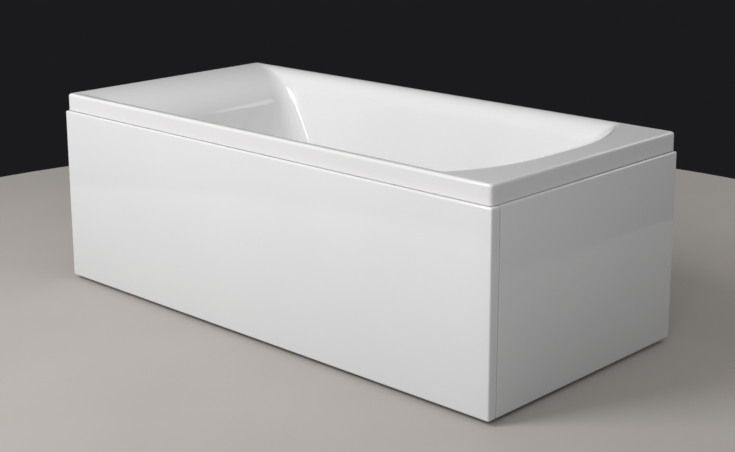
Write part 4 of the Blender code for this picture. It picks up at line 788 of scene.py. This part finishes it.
for number in (1, 2, 3, 4):
    stem_low, stem_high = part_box(f"foot_stem_{number}")
    foot_place = Vector(((stem_low.x + stem_high.x) / 2, (stem_low.y + stem_high.y) / 2, 0))
    nut_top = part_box(f"foot_nut_{number}")[1].z
    turn = (0, 0, FOOT_TURN * number)
    stem = copied(thread, foot_place + Vector((0, 0, stem_low.z)), turn)
    pad = copied(foot_pad, foot_place, turn)
    nut = copied(lock_nut, foot_place + Vector((0, 0, nut_top)))
    fitted(joined(f"threaded_stem_{number}", [stem]), zinc, f"foot_{number}", "zinc_steel", f"foot_stem_{number}",
           smooth_deg=THREAD_CREASE_DEG)
    fitted(joined(f"ribbed_pad_{number}", [pad]), nylon, f"foot_{number}", "black_plastic", f"foot_pad_{number}")
    fitted(joined(f"lock_nut_{number}", [nut]), zinc, "bath", "zinc_steel", f"foot_nut_{number}")
for pattern in (thread, foot_pad, lock_nut):
    bpy.data.objects.remove(pattern)


# Wall brackets: hooked ledges folded from 3 mm galvanised strip and screwed to the two walls. The skirt of the rim
# sits in them.
for name in ("wall_bracket_back_1", "wall_bracket_back_2", "wall_bracket_head"):
    dressed(name, galvanised)


# Front panel: a tray thermoformed from 4 mm acrylic sheet, with flanges all round that run in under the bath and a
# lip along its top that hooks behind the clips. Its return at the foot end shows there as a narrow strip.
PANEL_WALL = 0.004
PANEL_EDGE = 0.005
PANEL_EDGE_STEPS = 6
PANEL_EDGE_DEG = 40
PANEL_CREASE_DEG = 30
PANEL_FLANGE = 0.022
RETURN_TOP = 0.031
RETURN_TAPER = 0.004
RETURN_GUSSET = 0.055
HOOK_HEIGHT = 0.014
HOOK_END_GAP = 0.060
SEAT = 0.0003
FACING = 0.9
NEAR = 0.001
PANEL_WAVE_MM = 340

panel_acrylic, tree, shader = new_finish("thermoformed_acrylic_sheet")
# Extruded acrylic sheet keeps its gloss when it is drawn over the mould, with a slow draw wave and a trace of peel
place = add_node(tree, 'ShaderNodeTexCoord').outputs["Object"]
draw = add_node(tree, 'ShaderNodeTexNoise', {"Scale": 1000 / PANEL_WAVE_MM, "Detail": 1.0}, {"Vector": place})
peel = add_node(tree, 'ShaderNodeTexNoise', {"Scale": 1000 / SPECK_MM, "Detail": 2.0}, {"Vector": place})
height = add_node(tree, 'ShaderNodeMath', {1: 0.004}, {0: peel.outputs["Fac"], 2: draw.outputs["Fac"]},
                  operation='MULTIPLY_ADD')
drawn = add_node(tree, 'ShaderNodeBump', {"Strength": 0.15, "Distance": 0.005}, {"Height": height.outputs[0]})
gloss = add_node(tree, 'ShaderNodeMapRange', {"To Min": 0.06, "To Max": 0.10}, {"Value": peel.outputs["Fac"]})
tint = add_node(tree, 'ShaderNodeMix', {6: linear("#EDEDED"), 7: linear("#E8E8E9")}, {0: draw.outputs["Fac"]},
                data_type='RGBA')
tree.links.new(tint.outputs[2], shader.inputs["Base Color"])
tree.links.new(gloss.outputs["Result"], shader.inputs["Roughness"])
tree.links.new(drawn.outputs["Normal"], shader.inputs["Normal"])
shader.inputs["IOR"].default_value = 1.49

panel_back, tree, shader = new_finish("acrylic_sheet_back")
# The mould side of the sheet: dull white with a soft leathery print from the mould's felt
place = add_node(tree, 'ShaderNodeTexCoord').outputs["Object"]
felt = add_node(tree, 'ShaderNodeTexNoise', {"Scale": 1000 / (SPECK_MM * 2), "Detail": 4.0}, {"Vector": place})
chalky = add_node(tree, 'ShaderNodeMix', {6: linear("#E6E5E2"), 7: linear("#DAD9D5")}, {0: felt.outputs["Fac"]},
                  data_type='RGBA')
print_relief = add_node(tree, 'ShaderNodeBump', {"Strength": 0.3, "Distance": 0.0004},
                        {"Height": felt.outputs["Fac"]})
tree.links.new(chalky.outputs[2], shader.inputs["Base Color"])
tree.links.new(print_relief.outputs["Normal"], shader.inputs["Normal"])
shader.inputs["Roughness"].default_value = 0.5


def pick(piece, kind, chosen):
    """Open a piece in edit mode and select the vertices or faces of it that pass a test."""
    only(piece)
    bpy.ops.object.mode_set(mode='EDIT')
    bpy.ops.mesh.select_mode(type=kind)
    bpy.ops.mesh.select_all(action='DESELECT')
    form = bmesh.from_edit_mesh(piece.data)
    for part in form.faces if kind == 'FACE' else form.verts:
        part.select = chosen(part)
    form.select_flush_mode()
    bmesh.update_edit_mesh(piece.data)


def panel_walled(tray, lip, name, node, body, limit='ANGLE'):
    """Round the outer edges of a tray, turn its wall inwards, fuse the hook lip on, and fix it to its body."""
    only(tray)
    tray.data.materials.append(panel_acrylic)
    tray.data.materials.append(panel_back)
    lip.data.materials.append(panel_back)
    rounding = tray.modifiers.new("edge_radius", 'BEVEL')
    rounding.width = PANEL_EDGE
    rounding.segments = PANEL_EDGE_STEPS
    rounding.limit_method = limit
    rounding.angle_limit = radians(PANEL_EDGE_DEG)
    wall = tray.modifiers.new("wall", 'SOLIDIFY')
    wall.thickness = PANEL_WALL
    wall.offset = -1
    wall.use_even_offset = True
    wall.material_offset = 1
    fused = tray.modifiers.new("hook_lip", 'BOOLEAN')
    fused.object = lip
    fused.operation = 'UNION'
    fused.solver = 'EXACT'
    finished(tray)
    bpy.data.objects.remove(lip)
    tray.name = name
    tray.data.name = name
    bpy.ops.object.shade_smooth_by_angle(angle=radians(PANEL_CREASE_DEG))
    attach(tray, body)
    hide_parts(node)


low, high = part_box("front_panel")
hook_z = high.z - HOOK_HEIGHT
panel_top = hook_z + PANEL_WALL
tray = block("front_panel_tray", low, (high.x, low.y + PANEL_FLANGE, panel_top))
pick(tray, 'FACE', lambda face: face.normal.y > FACING)
bpy.ops.mesh.delete(type='FACE')
bpy.ops.mesh.select_all(action='SELECT')
bpy.ops.mesh.bisect(plane_co=(high.x - RETURN_GUSSET, 0, 0), plane_no=(1, 0, 0))
for reach, upper in ((RETURN_TOP, True), (RETURN_TOP - RETURN_TAPER, False)):
    pick(tray, 'VERT', lambda point: (point.co.x > high.x - NEAR and point.co.y > low.y + PANEL_FLANGE / 2
                                      and (point.co.z > hook_z) == upper))
    bpy.ops.transform.translate(value=(0, reach - PANEL_FLANGE, 0))
lip_y = low.y + PANEL_FLANGE - SEAT
lip = block("front_hook_lip", (low.x + HOOK_END_GAP, lip_y - PANEL_WALL, panel_top - PANEL_WALL / 2),
            (high.x - HOOK_END_GAP, lip_y, high.z))
panel_walled(tray, lip, "front_panel_moulding", "front_panel", "front_panel")


# End panel: the same sheet and the same tray for the foot end. Its front edge leans with the return of the front
# panel, a thin joint away from it, and its back edge meets the wall.
JOINT_EASE = 0.003
JOINT_EDGE_SHARE = 0.15

low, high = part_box("end_panel")
low.y += JOINT_EASE
tray = block("end_panel_tray", (high.x - PANEL_FLANGE, low.y, low.z), (high.x, high.y, panel_top))
pick(tray, 'FACE', lambda face: face.normal.x < -FACING)
bpy.ops.mesh.delete(type='FACE')
# Its edges along the joint are rounded less than the others, so that the joint reads as a fine line
bpy.ops.mesh.select_mode(type='EDGE')
bpy.ops.mesh.select_all(action='SELECT')
bpy.ops.transform.edge_bevelweight(value=1)
pick(tray, 'VERT', lambda point: point.co.y < low.y + NEAR and point.co.x > high.x - NEAR)
bpy.ops.transform.edge_bevelweight(value=JOINT_EDGE_SHARE - 1)
pick(tray, 'VERT', lambda point: point.co.y < low.y + NEAR and point.co.z > hook_z)
bpy.ops.transform.translate(value=(0, RETURN_TAPER, 0))
lip_x = high.x - PANEL_FLANGE + SEAT
lip = block("end_hook_lip", (lip_x, low.y + RETURN_TAPER + HOOK_END_GAP, panel_top - PANEL_WALL / 2),
            (lip_x + PANEL_WALL, high.y - HOOK_END_GAP, high.z))
panel_walled(tray, lip, "end_panel_moulding", "end_panel", "end_panel", 'WEIGHT')


# Stiffeners and keepers: sawn uprights glued to the backs of the panels, each with a zinc plate screwed to its
# foot for the magnet to hold.
STIFFENER_EDGE = 0.0010
PLATE_EDGE = 0.0004

for name in ("front_stiffener_1", "front_stiffener_2", "end_stiffener"):
    dressed(name, softwood_upright, STIFFENER_EDGE)
for name in ("front_keeper_1", "front_keeper_2", "end_keeper"):
    dressed(name, zinc, PLATE_EDGE)


# Clips and catches: strip-steel clips under the battens carry the hook lips, and brackets under the rails hold the
# pot magnets that keep the foot of each panel in.
MAGNET_EDGE = 0.0006

for name in ("front_clip_1", "front_clip_2", "end_clip_1", "end_clip_2"):
    dressed(name, zinc, PLATE_EDGE)
for name in ("front_catch_1", "front_catch_2", "end_catch"):
    dressed(name, galvanised, PLATE_EDGE)
for name in ("front_magnet_1", "front_magnet_2", "end_magnet"):
    dressed(name, zinc, MAGNET_EDGE)


# Waste: a chrome-plated flange in the recess, clamped through the floor to a polypropylene body, with a flat seal
# above the shell and a gasket below it.
SPIN_EDGE = 0.0006
FLANGE_RADIUS = 0.040
FLANGE_RIM = 0.003
FLANGE_SLOPE_IN = 0.0015
FLANGE_SLOPE_DOWN = 0.0012
FLANGE_MOUTH = 0.026
FLANGE_CONE = 0.005
FLANGE_BORE = 0.021
NECK_RADIUS = 0.024
NECK_LENGTH = 0.024
SEAL_THICK = 0.0015
GUIDE_RADIUS = 0.006
GUIDE_BORE = 0.0033
GUIDE_LENGTH = 0.010
GUIDE_EDGE = 0.0004
ARM_COUNT = 3
ARM_WIDTH = 0.003
ARM_THICK = 0.004
ARM_EDGE = 0.0005
ARM_BITE = 0.001
SCUFF_MM = 3

rubber, tree, shader = new_finish("moulded_black_rubber")
# Nitrile rubber: a soft black that goes grey with talc, and hardly any gloss
place = add_node(tree, 'ShaderNodeTexCoord').outputs["Object"]
talc = add_node(tree, 'ShaderNodeTexNoise', {"Scale": 1000 / SCUFF_MM, "Detail": 5.0}, {"Vector": place})
dusted = add_node(tree, 'ShaderNodeMix', {6: linear("#19191A"), 7: linear("#303031")}, {0: talc.outputs["Fac"]},
                  data_type='RGBA')
tree.links.new(dusted.outputs[2], shader.inputs["Base Color"])
shader.inputs["Roughness"].default_value = 0.7

polypropylene, tree, shader = new_finish("moulded_grey_polypropylene")
# Moulded polypropylene: a waxy warm grey with faint flow marks, between gloss and matt
place = add_node(tree, 'ShaderNodeTexCoord').outputs["Object"]
flow = add_node(tree, 'ShaderNodeTexNoise', {"Scale": 18.0, "Detail": 3.0, "Distortion": 1.2},
                {"Vector": place})
waxy = add_node(tree, 'ShaderNodeTexNoise', {"Scale": 1000 / GRIT_MM, "Detail": 3.0}, {"Vector": place})
grey = add_node(tree, 'ShaderNodeMix', {6: linear("#C9CBCB"), 7: linear("#BEC0C1")}, {0: flow.outputs["Fac"]},
                data_type='RGBA')
sheen = add_node(tree, 'ShaderNodeMapRange', {"To Min": 0.32, "To Max": 0.48}, {"Value": waxy.outputs["Fac"]})
tree.links.new(grey.outputs[2], shader.inputs["Base Color"])
tree.links.new(sheen.outputs["Result"], shader.inputs["Roughness"])
shader.inputs["Subsurface Weight"].default_value = 0.05
shader.inputs["Subsurface Scale"].default_value = 0.002

chrome, tree, shader = new_finish("chrome_plated_brass")
# Plated and buffed brass: a mirror with a cold tone, and faint wipe marks that dull it a little
place = add_node(tree, 'ShaderNodeTexCoord').outputs["Object"]
wipe = add_node(tree, 'ShaderNodeTexNoise', {"Scale": 1000 / SCUFF_MM, "Detail": 4.0}, {"Vector": place})
polish = add_node(tree, 'ShaderNodeMapRange', {"From Min": 0.45, "From Max": 0.8, "To Min": 0.04, "To Max": 0.12},
                  {"Value": wipe.outputs["Fac"]})
tone = add_node(tree, 'ShaderNodeMix', {6: linear("#E4E6E8"), 7: linear("#DADDE0")}, {0: wipe.outputs["Fac"]},
                data_type='RGBA')
tree.links.new(tone.outputs[2], shader.inputs["Base Color"])
tree.links.new(polish.outputs["Result"], shader.inputs["Roughness"])
shader.inputs["Metallic"].default_value = 1.0


def spider(inner, outer, low):
    """The arms between a guide and the ring round it."""
    arms = []
    for index in range(ARM_COUNT):
        arm = block("spider_arm", (inner, -ARM_WIDTH / 2, low), (outer, ARM_WIDTH / 2, low + ARM_THICK))
        arm.rotation_euler = (0, 0, 2 * pi * index / ARM_COUNT)
        rounding = arm.modifiers.new("rounded_edge", 'BEVEL')
        rounding.width = ARM_EDGE
        rounding.segments = 2
        arms.append(arm)
    return arms


def guide_ring(name, bore, radius, low, high):
    """The small ring that a pin or spindle slides or turns in."""
    return spun(name, ((bore, low), (radius, low), (radius, high), (bore, high), (bore, low)), BORE_STEPS,
                GUIDE_EDGE)


waste_place = Vector((middle_x + waste_x, middle_y, floor_z - RECESS_DEPTH))
flange_low = 2 * SEAT + SEAL_THICK
flange_top = flange_low + FLANGE_RIM
flange = spun("waste_flange_ring", (
    (NECK_RADIUS, -NECK_LENGTH), (NECK_RADIUS, flange_low), (FLANGE_RADIUS, flange_low),
    (FLANGE_RADIUS, flange_top - FLANGE_SLOPE_DOWN), (FLANGE_RADIUS - FLANGE_SLOPE_IN, flange_top),
    (FLANGE_MOUTH, flange_top), (FLANGE_BORE, flange_top - FLANGE_CONE), (FLANGE_BORE, -NECK_LENGTH),
    (NECK_RADIUS, -NECK_LENGTH)), ROUND_STEPS, SPIN_EDGE)
guide = guide_ring("waste_guide", GUIDE_BORE, GUIDE_RADIUS, -NECK_LENGTH, GUIDE_LENGTH - NECK_LENGTH)
arms = spider(GUIDE_RADIUS - ARM_BITE, (FLANGE_BORE + NECK_RADIUS) / 2, ARM_WIDTH - NECK_LENGTH)
flange = joined("waste_flange_turned", [flange, guide, *arms])
flange.location = waste_place
finished(flange)
fitted(flange, chrome, "bath", "chrome", "waste_flange")
dressed("waste_seal", rubber)
dressed("waste_gasket", rubber)
dressed("waste_body", polypropylene)


# Plug: a domed chrome cap with a rubber seal under it, on a pin that slides in the guide. The lever in the body
# lifts the pin.
CAP_RADIUS = 0.033
CAP_THICK = 0.004
CAP_CROWN = 0.001
CAP_LOWER_IN = 0.0012
CAP_LOWER_UP = 0.0008
CAP_UPPER_DOWN = 0.0018
CAP_GAP = 0.0005
DOME_FALL = 0.0024
DOME_POWER = 4
DOME_SHARES = (0.97, 0.9, 0.8, 0.65, 0.45, 0.2, 0)
STUD_RADIUS = 0.005
STUD_LENGTH = 0.0041
cap_low = flange_top + CAP_GAP
cap_top = cap_low + CAP_THICK
dome = [(CAP_RADIUS * share, cap_top + CAP_CROWN - DOME_FALL * share ** DOME_POWER) for share in DOME_SHARES]
cap = spun("plug_cap_pressed", [
    (0, cap_low - STUD_LENGTH), (STUD_RADIUS, cap_low - STUD_LENGTH), (STUD_RADIUS, cap_low),
    (CAP_RADIUS - CAP_LOWER_IN, cap_low), (CAP_RADIUS, cap_low + CAP_LOWER_UP),
    (CAP_RADIUS, cap_top - CAP_UPPER_DOWN), *dome], ROUND_STEPS)
cap.location = waste_place
finished(cap)
fitted(cap, chrome, "plug", "chrome", "plug_cap")
dressed("plug_seal", rubber)
dressed("plug_pin", chrome)
dressed("lift_lever", polypropylene)


# Overflow: a chrome knob that turns to work the plug, with a chrome clamping ring behind it, and the body and
# gasket on the far side of the foot wall.
KNOB_RADIUS = 0.037
KNOB_WALL = 0.0025
KNOB_GAP = 0.006
KNOB_HEIGHT = 0.020
KNOB_CHAMFER = 0.007
KNOB_INNER_ROLL = (0.002, 0.0045)
KNOB_OUTER_ROLL = ((0.0007, 0.0043), (0.0027, 0.0018), (0.0055, 0.0004), (0.009, 0))
SPINDLE_RADIUS = 0.004
SPINDLE_END = 0.038
SPINDLE_CHAMFER = 0.0006
GRIP_HALF_LENGTH = 0.028
GRIP_HALF_WIDTH = 0.005
GRIP_HEIGHT = 0.009
GRIP_EDGE = 0.0022
CLAMP_RADIUS = 0.036
CLAMP_NECK = 0.0255
CLAMP_BORE = 0.022
CLAMP_NECK_LENGTH = 0.016
CLAMP_RIM = 0.0022
BEARING_RADIUS = 0.008
SPINDLE_BORE = 0.0043


def at_overflow(piece):
    """Set a piece that was made on the Z axis into the overflow hole."""
    piece.location = overflow_place
    piece.rotation_euler = overflow_turn
    finished(piece)
    return piece


clamp = spun("overflow_clamp_ring", (
    (CLAMP_BORE, -CLAMP_NECK_LENGTH), (CLAMP_NECK, -CLAMP_NECK_LENGTH), (CLAMP_NECK, SEAT), (CLAMP_RADIUS, SEAT),
    (CLAMP_RADIUS, SEAT + CLAMP_RIM), (CLAMP_BORE, SEAT + CLAMP_RIM), (CLAMP_BORE, -CLAMP_NECK_LENGTH)),
    ROUND_STEPS, SPIN_EDGE)
bearing = guide_ring("clamp_bearing", SPINDLE_BORE, BEARING_RADIUS, -CLAMP_NECK_LENGTH, SEAT)
arms = spider((SPINDLE_RADIUS + BEARING_RADIUS) / 2, (CLAMP_BORE + CLAMP_NECK) / 2, -ARM_THICK)
fitted(at_overflow(joined("overflow_clamp_turned", [clamp, bearing, *arms])), chrome, "bath", "chrome",
       "overflow_clamp")

inner_radius = KNOB_RADIUS - KNOB_WALL
knob = spun("knob_cup", (
    (0, -SPINDLE_END), (SPINDLE_RADIUS - SPINDLE_CHAMFER, -SPINDLE_END),
    (SPINDLE_RADIUS, SPINDLE_CHAMFER - SPINDLE_END), (SPINDLE_RADIUS, KNOB_HEIGHT - KNOB_WALL),
    (KNOB_RADIUS - KNOB_CHAMFER, KNOB_HEIGHT - KNOB_WALL),
    (inner_radius - KNOB_INNER_ROLL[0], KNOB_HEIGHT - KNOB_INNER_ROLL[1]),
    (inner_radius, KNOB_HEIGHT - KNOB_CHAMFER), (inner_radius, KNOB_GAP), (KNOB_RADIUS, KNOB_GAP),
    (KNOB_RADIUS, KNOB_HEIGHT - KNOB_CHAMFER),
    *((KNOB_RADIUS - inwards, KNOB_HEIGHT - down) for inwards, down in KNOB_OUTER_ROLL),
    (0, KNOB_HEIGHT)), ROUND_STEPS)
grip = block("knob_grip", (-GRIP_HALF_LENGTH, -GRIP_HALF_WIDTH, KNOB_HEIGHT - KNOB_WALL / 2),
             (GRIP_HALF_LENGTH, GRIP_HALF_WIDTH, KNOB_HEIGHT + GRIP_HEIGHT))
grip_edge = grip.modifiers.new("rounded_edge", 'BEVEL')
grip_edge.width = GRIP_EDGE
grip_edge.segments = 5
fitted(at_overflow(joined("overflow_knob_turned", [knob, grip])), chrome, "knob", "chrome", "overflow_knob")
dressed("overflow_gasket", rubber)
dressed("overflow_body", polypropylene)


# Overflow pipe, trap and lift cable: moulded polypropylene pipes pushed into the bodies and clamped by nuts, and
# the cable in its black sheath that joins the knob to the lever.
for name in ("overflow_pipe", "pipe_nut_top", "pipe_nut_bottom", "trap_nut", "trap_body"):
    dressed(name, polypropylene)
dressed("lift_cable", rubber)
